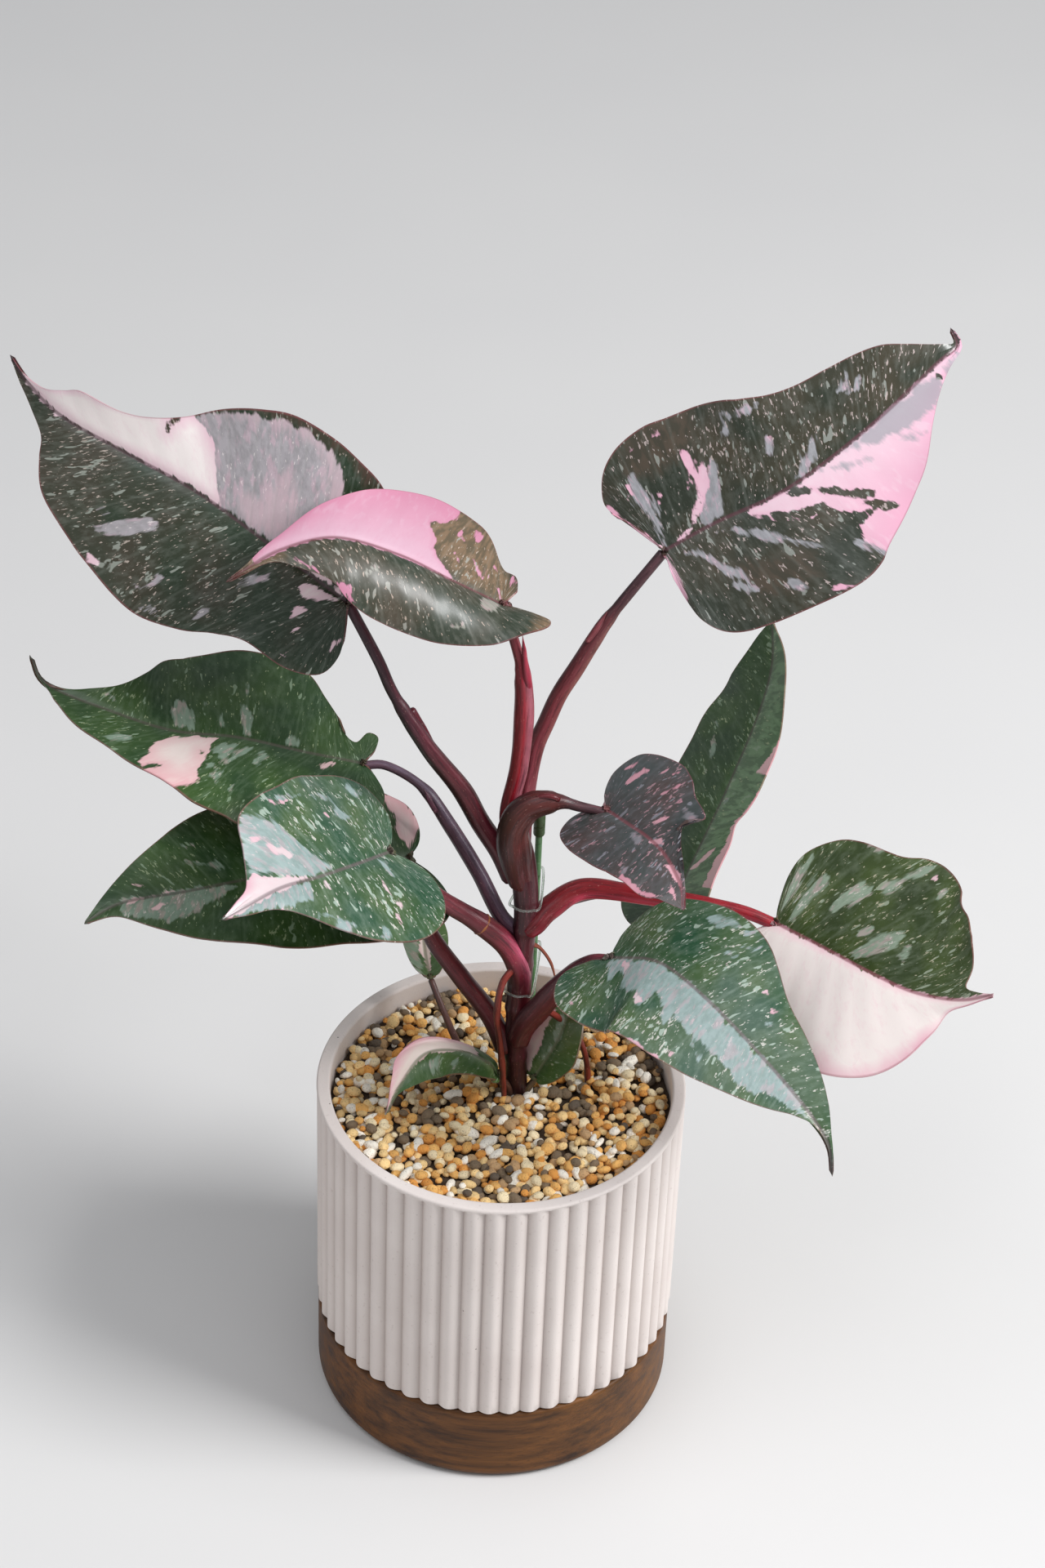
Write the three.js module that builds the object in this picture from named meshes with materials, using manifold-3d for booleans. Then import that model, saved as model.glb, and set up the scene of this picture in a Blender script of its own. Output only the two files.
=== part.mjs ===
import * as THREE from 'three'
import { mergeVertices } from 'three/addons/utils/BufferGeometryUtils.js'
import Module from 'manifold-3d'

// Potted pink princess philodendron in a fluted stoneware pot on a round wooden base.
// Millimetres, +Z up. The origin is on the pot's axis, on the underside of the wooden base,
// and -Y is the side that faces the viewer of the photo.

const wasm = await Module()
wasm.setup()

// Driving dimensions

const clearance = 0.3

const potRadius = 67.5
const potTop = 139.7
const potWall = 5
const rimBand = 3.2
const fluteCount = 54
const fluteDepth = 1.1
const roundSegments = 60
const footRadius = 59.8
const footWall = 5
const potFloor = 6
const drainRadius = 6

const baseRadius = 67
const baseHeight = 34.6
const baseFloor = 10
const baseEdge = 4

const soilTop = 129
const granuleSpacing = 12.4
const granuleRadius = 7.4

const bladeThickness = 0.8
const ribThickness = 1.5
const cellsAcross = 3
const cellsAlong = 14
const stalkSides = 7

// Solids

// The fused solid behind a closed geometry: only positions are kept and shared corners are merged.
function toSolid(geometry) {
  const bare = geometry.clone()
  bare.deleteAttribute('normal')
  bare.deleteAttribute('uv')
  const merged = mergeVertices(bare, 1e-3)
  const corners = merged.index.array
  const triVerts = []
  for (let i = 0; i < corners.length; i += 3) {
    const [a, b, c] = [corners[i], corners[i + 1], corners[i + 2]]
    if (a !== b && b !== c && c !== a) triVerts.push(a, b, c)
  }
  return new wasm.Manifold(new wasm.Mesh({
    numProp: 3,
    vertProperties: new Float32Array(merged.attributes.position.array),
    triVerts: new Uint32Array(triVerts),
  }))
}

function toGeometry(solid) {
  const mesh = solid.getMesh()
  const geometry = new THREE.BufferGeometry()
  geometry.setAttribute('position', new THREE.BufferAttribute(new Float32Array(mesh.vertProperties), 3))
  geometry.setIndex(new THREE.BufferAttribute(new Uint32Array(mesh.triVerts), 1))
  geometry.computeVertexNormals()
  return geometry
}

const toVector = ([x, y, z = 0]) => new THREE.Vector3(x, y, z)

const smoothCurve = (points) => new THREE.CatmullRomCurve3(points.map(toVector), false, 'catmullrom', 0.5)

// A value along a run from 0 to 1, eased between [place, value] pairs.
function eased(pairs, t) {
  const next = pairs.findIndex(([place]) => place >= t)
  if (next === 0) return pairs[0][1]
  if (next < 0) return pairs[pairs.length - 1][1]
  const [from, low] = pairs[next - 1]
  const [to, high] = pairs[next]
  return THREE.MathUtils.lerp(low, high, THREE.MathUtils.smoothstep(t, from, to))
}

// A profile of [radius, height] pairs turned about Z.
function turned(profile, segments) {
  const points = profile.map(([radius, height]) => new THREE.Vector2(radius, height))
  return toSolid(new THREE.LatheGeometry(points, segments).rotateX(Math.PI / 2))
}

// A quarter round of a profile about its centre, from one angle to another in degrees.
function rounded(centreRadius, centreHeight, size, from, to, steps = 4) {
  return Array.from({ length: steps + 1 }, (_, i) => {
    const angle = THREE.MathUtils.degToRad(THREE.MathUtils.lerp(from, to, i / steps))
    return [centreRadius + size * Math.cos(angle), centreHeight + size * Math.sin(angle)]
  })
}

// A stalk along a curve: a cylinder whose rings follow it, a little flatter than wide.
function stalk(points, radii, { swell = 0, flat = 1, steps = points.length * 2, sides = stalkSides } = {}) {
  const path = smoothCurve(points)
  const frames = path.computeFrenetFrames(steps)
  const geometry = new THREE.CylinderGeometry(1, 1, 1, sides, steps)
  const position = geometry.attributes.position
  for (let i = 0; i < position.count; i += 1) {
    const t = position.getY(i) + 0.5
    const ring = Math.round(t * steps)
    const radius = eased(radii, t) + swell
    const reach = Math.abs(t - 0.5) < 0.5 ? 0 : Math.sign(t - 0.5) * swell
    const place = path.getPointAt(t)
      .addScaledVector(frames.normals[ring], position.getX(i) * radius)
      .addScaledVector(frames.binormals[ring], -position.getZ(i) * radius * flat)
      .addScaledVector(frames.tangents[ring], reach)
    position.setXYZ(i, place.x, place.y, place.z)
  }
  return toSolid(geometry)
}

// Closes a plane's sheet into a solid: its triangles on top, the same ones turned over beneath,
// and a wall along its border.
function closedSheet(plane, topPoint, underPoint) {
  const position = plane.attributes.position
  const count = position.count
  const corners = Array.from(plane.index.array)
  const places = new Float32Array(count * 6)
  for (let i = 0; i < count; i += 1) {
    topPoint(position.getX(i), position.getY(i)).toArray(places, i * 3)
    underPoint(position.getX(i), position.getY(i)).toArray(places, (i + count) * 3)
  }
  const triangles = []
  const edges = new Map()
  for (let i = 0; i < corners.length; i += 3) {
    const face = corners.slice(i, i + 3)
    triangles.push(...face, face[2] + count, face[1] + count, face[0] + count)
    face.forEach((from, k) => edges.set(`${from} ${face[(k + 1) % 3]}`, [from, face[(k + 1) % 3]]))
  }
  for (const [from, to] of edges.values()) {
    if (edges.has(`${to} ${from}`)) continue
    triangles.push(to, from, from + count, to, from + count, to + count)
  }
  const sheet = new THREE.BufferGeometry()
  sheet.setAttribute('position', new THREE.BufferAttribute(places, 3))
  sheet.setIndex(triangles)
  return toSolid(sheet)
}

// Leaves. Each rib runs from the petiole to the drip tip. The outline of each half lies flat, as
// [along the rib, away from the rib], from the notch at the petiole round the lobe to the tip.
// A half rises from the rib by its fold, in degrees, and curls by its bend, in degrees a millimetre,
// both given at the petiole and at the tip. `face` is the way that the upper side looks there.

const leaves = {
  leaf_upper_left: {
    rib: [[-59, 34, 327], [-82, 40, 342], [-110, 50, 358], [-136, 60, 367], [-159, 72, 373],
      [-172, 86, 377], [-180, 98, 381]],
    face: [[-0.05, -0.85, 0.5], [-0.25, -0.8, 0.5]],
    left: [[0, 0], [-5, 8], [-9, 17], [-7, 26], [4, 31], [20, 31.5], [30, 36], [40, 42], [56, 46.7],
      [74, 44.7], [92, 37.7], [104, 31], [112, 25], [117, 16], [121, 9.5], [129, 5], [141, 2],
      [152, 0]],
    right: [[0, 0], [-5, 6], [-9, 14], [-8, 24], [2, 32], [14, 39], [24, 41.3], [36, 42.7], [50, 41.5],
      [59, 37], [68, 30], [77, 21.5], [87, 16], [98, 12.5], [114, 12], [122, 8], [130, 3.5], [140, 1],
      [152, 0]],
    fold: { left: [8, 6], right: [0, 22] },
    bend: { left: [-0.25, -0.25], right: [-0.1, -0.1] },
    petiole: [[2, 12, 224], [-4, 15, 236], [-11, 17, 247], [-18, 20, 259], [-30, 22, 275], [-42, 26, 294],
      [-48, 29, 307]],
    radii: [[0, 3.8], [0.3, 3.6], [0.45, 3.2], [0.57, 2.9], [0.64, 2.6], [0.68, 2], [1, 1.9]],
  },
  leaf_top_folded: {
    rib: [[-6, 28, 333], [-23, 28, 342], [-41, 26, 353], [-62, 23, 361], [-80, 16, 360],
      [-92, 10, 355], [-98, 9, 351]],
    face: [[0.35, -0.35, 0.85], [0.1, -0.45, 0.85]],
    left: [[0, 0], [-6, 1], [-12, 2.3], [-16, 3.8], [-17, 6], [-14, 9.5], [-8, 14], [0, 19.5], [10, 24],
      [22, 27], [36, 28], [50, 25], [64, 19], [77, 11], [88, 3], [104, 0]],
    right: [[0, 0], [-3, 5], [-4.5, 9], [-3.5, 14.5], [0.5, 17], [4, 22], [8, 27], [12.5, 32.5],
      [18, 34.8], [28, 34], [40, 29.5], [52, 23], [64, 14.5], [78, 6.5], [92, 2], [104, 0]],
    fold: { left: [35, 15], right: [-10, 0] },
    lobeTilt: 22,
    bend: { left: [-3.2, -3], right: [-0.3, -0.3] },
    petiole: [[3, 11, 236], [-1, 14, 252], [2, 17, 272], [3, 20, 291], [2, 22, 307], [-2, 24, 323]],
    radii: [[0, 3.3], [0.4, 3.3], [0.58, 3.5], [0.72, 3.1], [0.8, 2.7], [0.86, 1.9], [1, 1.7]],
  },
  leaf_upper_right: {
    rib: [[49, 52, 341], [66, 54, 352], [90, 56, 366], [116, 66, 385], [138, 79, 403],
      [145, 85, 407], [143, 92, 410]],
    face: [[-0.16, -0.86, 0.5], [0.1, -0.78, 0.62]],
    left: [[0, 0], [-3, 9], [-7, 16], [-10.5, 23], [-8, 30], [-3, 35.5], [4, 39], [14, 40.6],
      [22, 39.5], [32, 38.8], [42, 37], [52, 34], [62, 29.8], [72, 26.8], [84, 24.5], [95, 21.8],
      [104, 17.8], [111, 11.5], [117, 5.5], [123, 1.8], [132, 0]],
    right: [[0, 0], [-1, 5], [-1.5, 12], [-1, 20], [1, 28], [6, 35], [14, 38.5], [26, 39.8], [40, 40],
      [52, 40.7], [59, 39], [64, 35.5], [75, 30], [87, 23], [98, 14], [108, 7.5], [119, 3], [132, 0]],
    fold: { left: [8, 8], right: [10, 10] },
    bend: { left: [-0.2, -0.2], right: [-0.2, -0.2] },
    petiole: [[4, 15, 237], [4.5, 21, 253], [7, 27, 271], [11, 31, 281.5], [15, 35, 290.5],
      [20.5, 39, 299], [26.5, 43, 309], [32, 46, 317.5]],
    radii: [[0, 3.2], [0.3, 3.2], [0.5, 3], [0.65, 2.8], [0.74, 2.5], [0.78, 1.95], [1, 1.8]],
  },
  leaf_mid_left: {
    rib: [[-54, 43, 251], [-75, 42, 256], [-98, 41, 262], [-120, 38, 266], [-140, 39, 272],
      [-165, 45, 279], [-172, 54, 285]],
    face: [[0.1, -0.25, 0.95], [0, -0.3, 0.95]],
    left: [[0, 0], [-5, 5], [-9, 13], [-7, 23], [4, 31], [20, 36], [38, 38], [52, 36], [61, 32],
      [68, 25], [77, 20], [86, 16], [96, 13.3], [103, 10], [110, 5], [116, 1.2], [129, 0]],
    right: [[0, 0], [-4, 6], [-5, 12], [-1, 13], [3, 8], [8, 11], [11, 18], [16, 26], [22, 33],
      [32, 37], [44, 37.5], [54, 34.8], [67, 32], [78, 27], [84, 19.5], [92, 10.5], [101, 5.5],
      [112, 1], [129, 0]],
    fold: { left: [8, 8], right: [8, 8] },
    bend: { left: [-0.3, -0.3], right: [-0.3, -0.3] },
    petiole: [[6, 11, 201], [-2, 14, 206], [-11, 23, 219], [-22, 32, 233], [-32, 39, 244], [-45, 43, 250]],
    radii: [[0, 3], [0.5, 2.7], [0.68, 2.4], [0.76, 1.7], [1, 1.6]],
  },
  leaf_low_left: {
    rib: [[-36, 26, 222], [-65, 16, 226], [-90, 3, 229], [-112, -8, 231], [-134, -17, 232],
      [-146, -25, 229]],
    face: [[0.15, -0.3, 0.95], [0.1, -0.3, 0.95]],
    left: [[0, 0], [-6, 7], [-10, 17], [-8, 27], [2, 33], [16, 35], [34, 35], [51, 33], [68, 28],
      [84, 22], [98, 14], [111, 5], [123, 0]],
    right: [[0, 0], [-5, 6], [-6, 14], [-2, 23], [8, 30], [22, 33], [38, 35], [55, 33], [71, 29],
      [86, 23], [99, 15], [112, 5], [123, 0]],
    fold: { left: [8, 8], right: [8, 8] },
    bend: { left: [-0.3, -0.3], right: [-0.3, -0.3] },
    petiole: [[2, 6, 148], [-5, 10, 163], [-16, 13, 178], [-27, 17, 193], [-33, 21, 208]],
    radii: [[0, 3.8], [0.5, 3.4], [1, 2.3]],
  },
  leaf_front_left: {
    rib: [[-42, 2, 244], [-51, -13, 251], [-64, -30, 258], [-76, -44, 264], [-87, -57, 266],
      [-94, -64, 266]],
    face: [[0.3, -0.35, 0.85], [0.2, -0.6, 0.75]],
    left: [[0, 0], [-5, 5], [-10, 14], [-8, 23], [0, 31], [11, 34], [23, 33], [35, 28], [46, 20],
      [57, 12], [68, 6], [79, 3], [88, 0]],
    right: [[0, 0], [-7, 5], [-13, 14], [-12, 25], [-3, 33], [10, 37], [24, 37], [38, 35], [52, 33],
      [62, 28], [67, 16], [73, 6], [81, 2.5], [88, 0]],
    fold: { left: [6, 6], right: [6, 6] },
    bend: { left: [-0.3, -0.3], right: [-0.3, -0.3] },
    petiole: [[5.3, 7.6, 170], [5.3, 7.5, 180], [4.4, 6.8, 190], [-0.5, 6.8, 200], [-10, 6, 210],
      [-23, 4, 221], [-32, 2, 231]],
    radii: [[0, 3.6], [0.1, 3.9], [0.22, 4.3], [0.45, 4.2], [0.58, 3.4], [1, 2.4]],
  },
  leaf_small_centre: {
    rib: [[33, 5, 264], [40, -6, 267], [47, -16, 269], [53, -26, 269], [58, -38, 266], [59, -45, 262]],
    face: [[-0.3, -0.3, 0.9], [-0.1, -0.6, 0.8]],
    left: [[0, 0], [-7, 4], [-13, 13], [-12, 23], [-5, 27], [6, 28.5], [14, 28], [21, 25.5], [26, 21.5],
      [34, 18.5], [31, 12], [36, 6.5], [44, 3.5], [52, 1], [59, 0]],
    right: [[0, 0], [-6, 3], [-10, 10], [-7, 17], [2, 20], [14, 20], [26, 19], [38, 17], [48, 14],
      [55, 8], [59, 0]],
    fold: { left: [4, 4], right: [6, 6] },
    bend: { left: [-0.3, -0.3], right: [-0.3, -0.3] },
    petiole: [[5, 11, 223], [2, 9, 238], [1, 7, 253], [6, 7, 262.5], [16, 7, 265], [24, 6.5, 263.5]],
    radii: [[0, 4.6], [0.3, 6], [0.5, 5.4], [0.62, 4.8], [0.7, 4.1], [0.76, 2.6], [0.8, 1.95], [1, 1.4]],
  },
  leaf_back_right: {
    rib: [[59, 35, 196], [64, 43, 205], [72, 54, 220], [78, 64, 230], [88, 83, 248], [93, 99, 260],
      [93, 115, 269]],
    face: [[-0.8, -0.3, 0.5], [-0.75, -0.3, 0.55]],
    left: [[0, 0], [-6, 6], [-11, 16], [-6, 27], [5, 33], [20, 35], [36, 34], [52, 32.3], [66, 30.2],
      [80, 28], [92, 23.5], [102, 17.5], [110, 9], [116, 0]],
    right: [[0, 0], [-5, 6], [-8, 13], [-3, 19], [8, 19.5], [18, 18.5], [29, 16], [36, 15], [42, 18.5],
      [52, 20.3], [63, 19], [77, 15], [90, 11], [103, 6], [116, 0]],
    fold: { left: [6, 6], right: [6, 6] },
    bend: { left: [-0.3, -0.3], right: [-0.3, -0.3] },
    petiole: [[8, 11, 203], [13, 18, 207], [21, 24, 208], [38, 32, 206], [50, 35, 200]],
    radii: [[0, 3.6], [0.5, 2.8], [1, 1.9]],
  },
  leaf_front_right: {
    rib: [[37, -17, 216], [53, -27, 223], [70, -44, 221], [88, -62, 213], [103, -77, 204],
      [111, -86, 196], [113, -93, 187]],
    face: [[-0.25, -0.25, 0.93], [-0.1, -0.45, 0.85]],
    left: [[0, 0], [-1, 4], [0, 10], [4, 16], [10, 22], [17, 28], [25, 31], [36, 31], [44, 29.5],
      [52, 25.5], [63, 20], [76, 16], [88, 11.8], [98, 7.2], [108, 2], [120, 0]],
    right: [[0, 0], [-8, 2.5], [-15, 8], [-16.5, 15], [-12, 23], [-2, 28], [9, 31], [23, 31.7],
      [34, 29.8], [46, 28], [58, 24.7], [69, 20], [80, 15], [88, 10], [95, 4.5], [103, 1], [120, 0]],
    fold: { left: [4, 4], right: [6, 6] },
    bend: { left: [-0.35, -0.35], right: [-0.35, -0.35] },
    petiole: [[5, 6, 154], [8, 2, 167], [14, -2, 180], [22, -7, 197], [30, -13, 210]],
    radii: [[0, 4.4], [0.4, 4.3], [0.7, 3.2], [1, 2.2]],
  },
  leaf_half_pink: {
    rib: [[95, 5, 216], [111, -11, 219], [126, -28, 223], [138, -39.5, 225.5],
      [148, -46.5, 228.5], [156.5, -51, 232], [165, -54, 237]],
    face: [[-0.3, -0.45, 0.82], [-0.2, -0.5, 0.82]],
    left: [[0, 0], [-4, 7], [-7, 18], [-6, 28], [1, 37], [10, 40.7], [25, 42.6], [34, 47], [46, 46.3],
      [60, 41], [71, 34.5], [80, 28], [87, 20], [88, 12], [85, 5], [90, 2], [97, 0]],
    right: [[0, 0], [-6, 6], [-9, 16], [-4, 26], [8, 33], [22, 37], [37, 40], [52, 40], [63, 35],
      [71, 25], [77, 13], [80, 5], [87, 2], [97, 0]],
    fold: { left: [4, 4], right: [6, 6] },
    bend: { left: [-0.3, -0.3], right: [-0.3, -0.3] },
    petiole: [[6.5, 6, 204.5], [10.5, 8.5, 208.8], [15.3, 13, 212.6], [27, 18, 217.4], [48, 15, 218],
      [80, 9, 218]],
    radii: [[0, 2.4], [0.06, 3.8], [0.14, 4.4], [0.24, 4.1], [0.45, 3.4], [1, 2.2]],
  },
  leaf_soil_left: {
    rib: [[-1, 3, 141], [-5, 3, 147], [-16, -2, 156], [-28, -8, 159], [-36, -17, 152], [-41, -25, 144]],
    face: [[0.1, 0.05, 1], [0.45, -0.35, 0.8]],
    left: [[0, 0], [0, 5], [4, 9], [14, 11.8], [24, 12.2], [33, 11.5], [40, 9.8], [46, 6], [54, 1],
      [63, 0]],
    right: [[0, 0], [2, 2.5], [10, 4], [20, 4.5], [30, 5], [38, 6], [44, 6.5], [50, 4.2], [57, 1.5],
      [63, 0]],
    fold: { left: [4, 4], right: [4, 4] },
    bend: { left: [-0.3, -0.3], right: [-0.3, -0.3] },
    petiole: [[5, 6, 122], [3, 4, 133]],
    radii: [[0, 2.6], [1, 1.7]],
  },
  leaf_soil_right: {
    rib: [[12, 5, 138], [16, 6, 146], [20, 8, 154], [23, 10, 163], [27, 15, 172]],
    face: [[-0.6, -0.5, 0.6], [-0.5, -0.5, 0.6]],
    left: [[0, 0], [-1, 4], [5, 8], [14, 10], [24, 9], [32, 5], [39, 0]],
    right: [[0, 0], [1, 5], [8, 11], [17, 15], [26, 14], [33, 8], [39, 0]],
    fold: { left: [20, 20], right: [20, 20] },
    bend: { left: [-0.3, -0.3], right: [-0.3, -0.3] },
    petiole: [[6, 6, 124], [9, 5, 131]],
    radii: [[0, 2], [1, 1.2]],
  },
  leaf_back_left: {
    rib: [[-28, 38, 156], [-30, 43, 163], [-32, 52, 171], [-35, 64, 176]],
    face: [[0, -0.75, 0.6], [0, -0.75, 0.6]],
    left: [[0, 0], [3, 4], [10, 7], [18, 8], [26, 6], [34, 0]],
    right: [[0, 0], [1, 4], [8, 8], [16, 9], [25, 6], [34, 0]],
    fold: { left: [8, 8], right: [8, 8] },
    bend: { left: [-0.3, -0.3], right: [-0.3, -0.3] },
    petiole: [[-16, 26, 95], [-16, 26, 128], [-20, 29, 140], [-24, 33, 148]],
    radii: [[0, 1.8], [1, 1.2]],
  },
}
const leastHalfWidth = 0.6
const lobeShare = 0.28
const veinSweep = 1.15

// The rib's place and directions at a distance along it. Behind the petiole its line runs on straight,
// or tilted up by the leaf's lobeTilt, in degrees, where the lobes stand up.
function ribFrame(leaf, along) {
  const share = THREE.MathUtils.clamp(along / leaf.length, 0, 1)
  const origin = leaf.curve.getPointAt(share)
  const forward = leaf.curve.getTangentAt(share)
  const face = toVector(leaf.face[0]).lerp(toVector(leaf.face[1]), share)
  const side = face.cross(forward).normalize()
  const up = new THREE.Vector3().crossVectors(forward, side)
  const behind = Math.max(-along, 0)
  const tilt = THREE.MathUtils.degToRad(leaf.lobeTilt ?? 0)
  origin.addScaledVector(forward, -behind * Math.cos(tilt)).addScaledVector(up, behind * Math.sin(tilt))
  return { share, origin, forward, side, up }
}

// A place on the upper face, pushed up or down square to it, from its place on the flat outline.
function bladePoint(leaf, half, along, away, lift) {
  const { share, origin, side, up } = ribFrame(leaf, along)
  const handed = half === 'left' ? 1 : -1
  const start = THREE.MathUtils.degToRad(THREE.MathUtils.lerp(...leaf.fold[half], share))
  const bend = THREE.MathUtils.degToRad(THREE.MathUtils.lerp(...leaf.bend[half], share))
  const end = start + bend * away
  const out = (Math.sin(end) - Math.sin(start)) / bend
  const rise = (Math.cos(start) - Math.cos(end)) / bend
  const tilt = away > 0 ? end : 0
  return origin
    .addScaledVector(side, handed * (out - lift * Math.sin(tilt)))
    .addScaledVector(up, rise + lift * Math.cos(tilt))
}

function bladeSolid(leaf) {
  const margins = { left: smoothCurve(leaf.left), right: smoothCurve(leaf.right) }
  const cells = leaf.length > 70 ? [cellsAcross, cellsAlong] : [2, 10]
  const plane = new THREE.PlaneGeometry(2, 1, 2 * cells[0], cells[1])
  const ends = (y) => Math.abs(y) === 0.5
  const placed = (x, y, lift) => {
    const half = x > 0 ? 'right' : 'left'
    const across = ends(y) ? 0 : Math.abs(x)
    const run = y + 0.5
    const margin = margins[half].getPoint(run)
    const spine = leaf.length * Math.max(0, (run - lobeShare) / (1 - lobeShare)) ** veinSweep
    const along = THREE.MathUtils.lerp(spine, margin.x, across)
    return bladePoint(leaf, half, along, Math.max(margin.y, leastHalfWidth) * across, lift)
  }
  const ribDepth = (y) => THREE.MathUtils.lerp(ribThickness, bladeThickness, y + 0.5)
  const depth = (x, y) => (x === 0 || ends(y) ? ribDepth(y) : bladeThickness)
  return closedSheet(plane, (x, y) => placed(x, y, 0), (x, y) => placed(x, y, -depth(x, y)))
}

// The petiole ends just under the upper face, where the rib starts.
function petioleSolid(leaf, swell = 0) {
  const { origin, up } = ribFrame(leaf, 0)
  const end = origin.addScaledVector(up, -leaf.radii[leaf.radii.length - 1][1] - 0.2)
  return stalk([...leaf.petiole, end.toArray()], leaf.radii, { swell })
}

for (const leaf of Object.values(leaves)) {
  leaf.curve = smoothCurve(leaf.rib)
  leaf.length = leaf.curve.getLength()
}

// Stem, with the petioles and the roots that grow from it

const stemPath = [[6, 6, 72], [5.8, 6, 100], [5.8, 6, 128], [4.7, 6.5, 156], [5.3, 8, 184], [6.5, 10, 212],
  [4.5, 11, 236], [2, 11, 249]]
const stemRadii = [[0, 3], [0.25, 3.9], [0.5, 4], [0.62, 4.4], [0.7, 4], [0.8, 4.4], [0.9, 4.6], [1, 3.6]]

const roots = [
  { path: [[4, 5, 192], [-1, 1, 186], [-2.5, 0, 172], [-1, 0, 158], [1, 0, 136], [2, 0, 112]], radius: 1.3 },
  { path: [[6, 8, 170], [14, 10, 167], [25, 12, 156], [31, 11, 141], [32, 10, 114]], radius: 1.3 },
]

const ownStalk = 'leaf_back_left'

function stemSolid(swell = 0) {
  let solid = stalk(stemPath, stemRadii, { swell, sides: 10, steps: 20 })
  for (const [name, leaf] of Object.entries(leaves)) {
    if (name !== ownStalk) solid = solid.add(petioleSolid(leaf, swell))
  }
  for (const { path, radius } of roots) {
    solid = solid.add(stalk(path, [[0, radius], [1, radius * 0.7]], { swell, sides: 6, steps: 9 }))
  }
  return solid
}

// Stake of green coated wire, with a thicker cap

const stakePlace = [10, 25]
const stakeRadius = 1.25
const stakeCapRadius = 2.1
const stakeFoot = 70
const stakeCapFoot = 236
const stakeTop = 246

function stakeSolid(swell = 0) {
  const profile = [[0, stakeFoot - swell], [stakeRadius + swell, stakeFoot - swell],
    [stakeRadius + swell, stakeCapFoot - swell], [stakeCapRadius + swell, stakeCapFoot - swell],
    [stakeCapRadius + swell, stakeTop - 1], [1 + swell, stakeTop + swell], [0, stakeTop + swell]]
  return turned(profile, 12).translate([...stakePlace, 0])
}

// A clear clip: a closed wire loop round the stem and the stake, lower on one side than on the other
function clipSolid({ stemPlace, stemReach, heights }) {
  const [sides, steps] = [6, 24]
  const away = new THREE.Vector2(...stakePlace).sub(new THREE.Vector2(...stemPlace))
  const heading = away.angle()
  const stakeReach = stakeRadius + clearance + clipRadius
  const bow = (place, reach, turns, height) => turns.map((turn) => {
    const angle = heading + THREE.MathUtils.degToRad(turn)
    return [place[0] + reach * Math.cos(angle), place[1] + reach * Math.sin(angle), height]
  })
  const points = [...bow(stemPlace, stemReach, [100, 140, 180, 220, 260], heights[0]),
    ...bow(stakePlace, stakeReach, [-80, 0, 80], heights[1])]
  const path = new THREE.CatmullRomCurve3(points.map(toVector), true)
  const frames = path.computeFrenetFrames(steps, true)
  const geometry = new THREE.TorusGeometry(1, 0.5, sides, steps)
  const position = geometry.attributes.position
  for (let i = 0; i < position.count; i += 1) {
    const ring = (i % (steps + 1)) % steps
    const turn = (2 * Math.PI * (Math.floor(i / (steps + 1)) % sides)) / sides
    const place = path.getPointAt(ring / steps)
      .addScaledVector(frames.normals[ring], -clipRadius * Math.cos(turn))
      .addScaledVector(frames.binormals[ring], clipRadius * Math.sin(turn))
    position.setXYZ(i, place.x, place.y, place.z)
  }
  return toSolid(geometry)
}

const clipRadius = 0.7
const clips = {
  stake_clip_upper: { stemPlace: [6.4, 10.2], stemReach: 5.5, heights: [217, 219] },
  stake_clip_lower: { stemPlace: [5.2, 7.8], stemReach: 5.5, heights: [179, 184] },
}

// What is left of a dried bud sheath: a papery strip that hangs from the stem
const driedSheathPath = [[8, 10, 198], [12, 11, 195], [16, 8, 191], [18, 5, 186]]
const driedSheathRadii = [[0, 1.9], [0.6, 1.7], [1, 0.9]]
const driedSheathFlat = 0.35

// Pot, wooden base and soil

// Round ribs that meet in narrow grooves.
function flutedOutline() {
  const shape = new THREE.Shape()
  const stepsPerFlute = 3
  for (let i = 0; i < fluteCount * stepsPerFlute; i += 1) {
    const share = (i % stepsPerFlute) / stepsPerFlute
    const radius = potRadius - fluteDepth * (1 - Math.sin(Math.PI * share) ** 0.7)
    const angle = (2 * Math.PI * i) / (fluteCount * stepsPerFlute)
    const place = [radius * Math.cos(angle), radius * Math.sin(angle)]
    if (i === 0) shape.moveTo(...place)
    else shape.lineTo(...place)
  }
  return shape
}

function potSolid() {
  const footBottom = baseFloor + clearance
  const flutesFrom = baseHeight + clearance
  const flutesTo = potTop - rimBand
  const body = toSolid(new THREE.ExtrudeGeometry(flutedOutline(), { depth: flutesTo - flutesFrom, bevelEnabled: false }))
    .translate([0, 0, flutesFrom])
  const foot = turned([[0, footBottom], [footRadius - 1, footBottom], [footRadius, footBottom + 1],
    [footRadius, flutesFrom + 1], [0, flutesFrom + 1]], roundSegments)
  const rim = turned([[0, flutesTo - 1], [potRadius - fluteDepth, flutesTo - 1], [potRadius, flutesTo],
    ...rounded(potRadius - 1.6, potTop - 1.6, 1.6, 0, 90), [0, potTop]], roundSegments)
  return body.add(foot).add(rim).subtract(potHollow(0))
}

// The room inside the pot, or the soil's bulk when it is drawn in by the clearance.
function potHollow(inset) {
  const inner = potRadius - potWall - inset
  const footInner = footRadius - footWall - inset
  const floor = baseFloor + clearance + potFloor + inset
  const top = inset > 0 ? soilTop : potTop + 1
  const shoulder = baseHeight + 14
  const hollow = turned([[0, floor], [footInner, floor], [footInner, shoulder - 8], [inner, shoulder],
    [inner, top], [0, top]], roundSegments)
  if (inset > 0) return hollow
  return hollow.add(turned([[0, 0], [drainRadius, 0], [drainRadius, floor + 1], [0, floor + 1]], 24))
}

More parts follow.
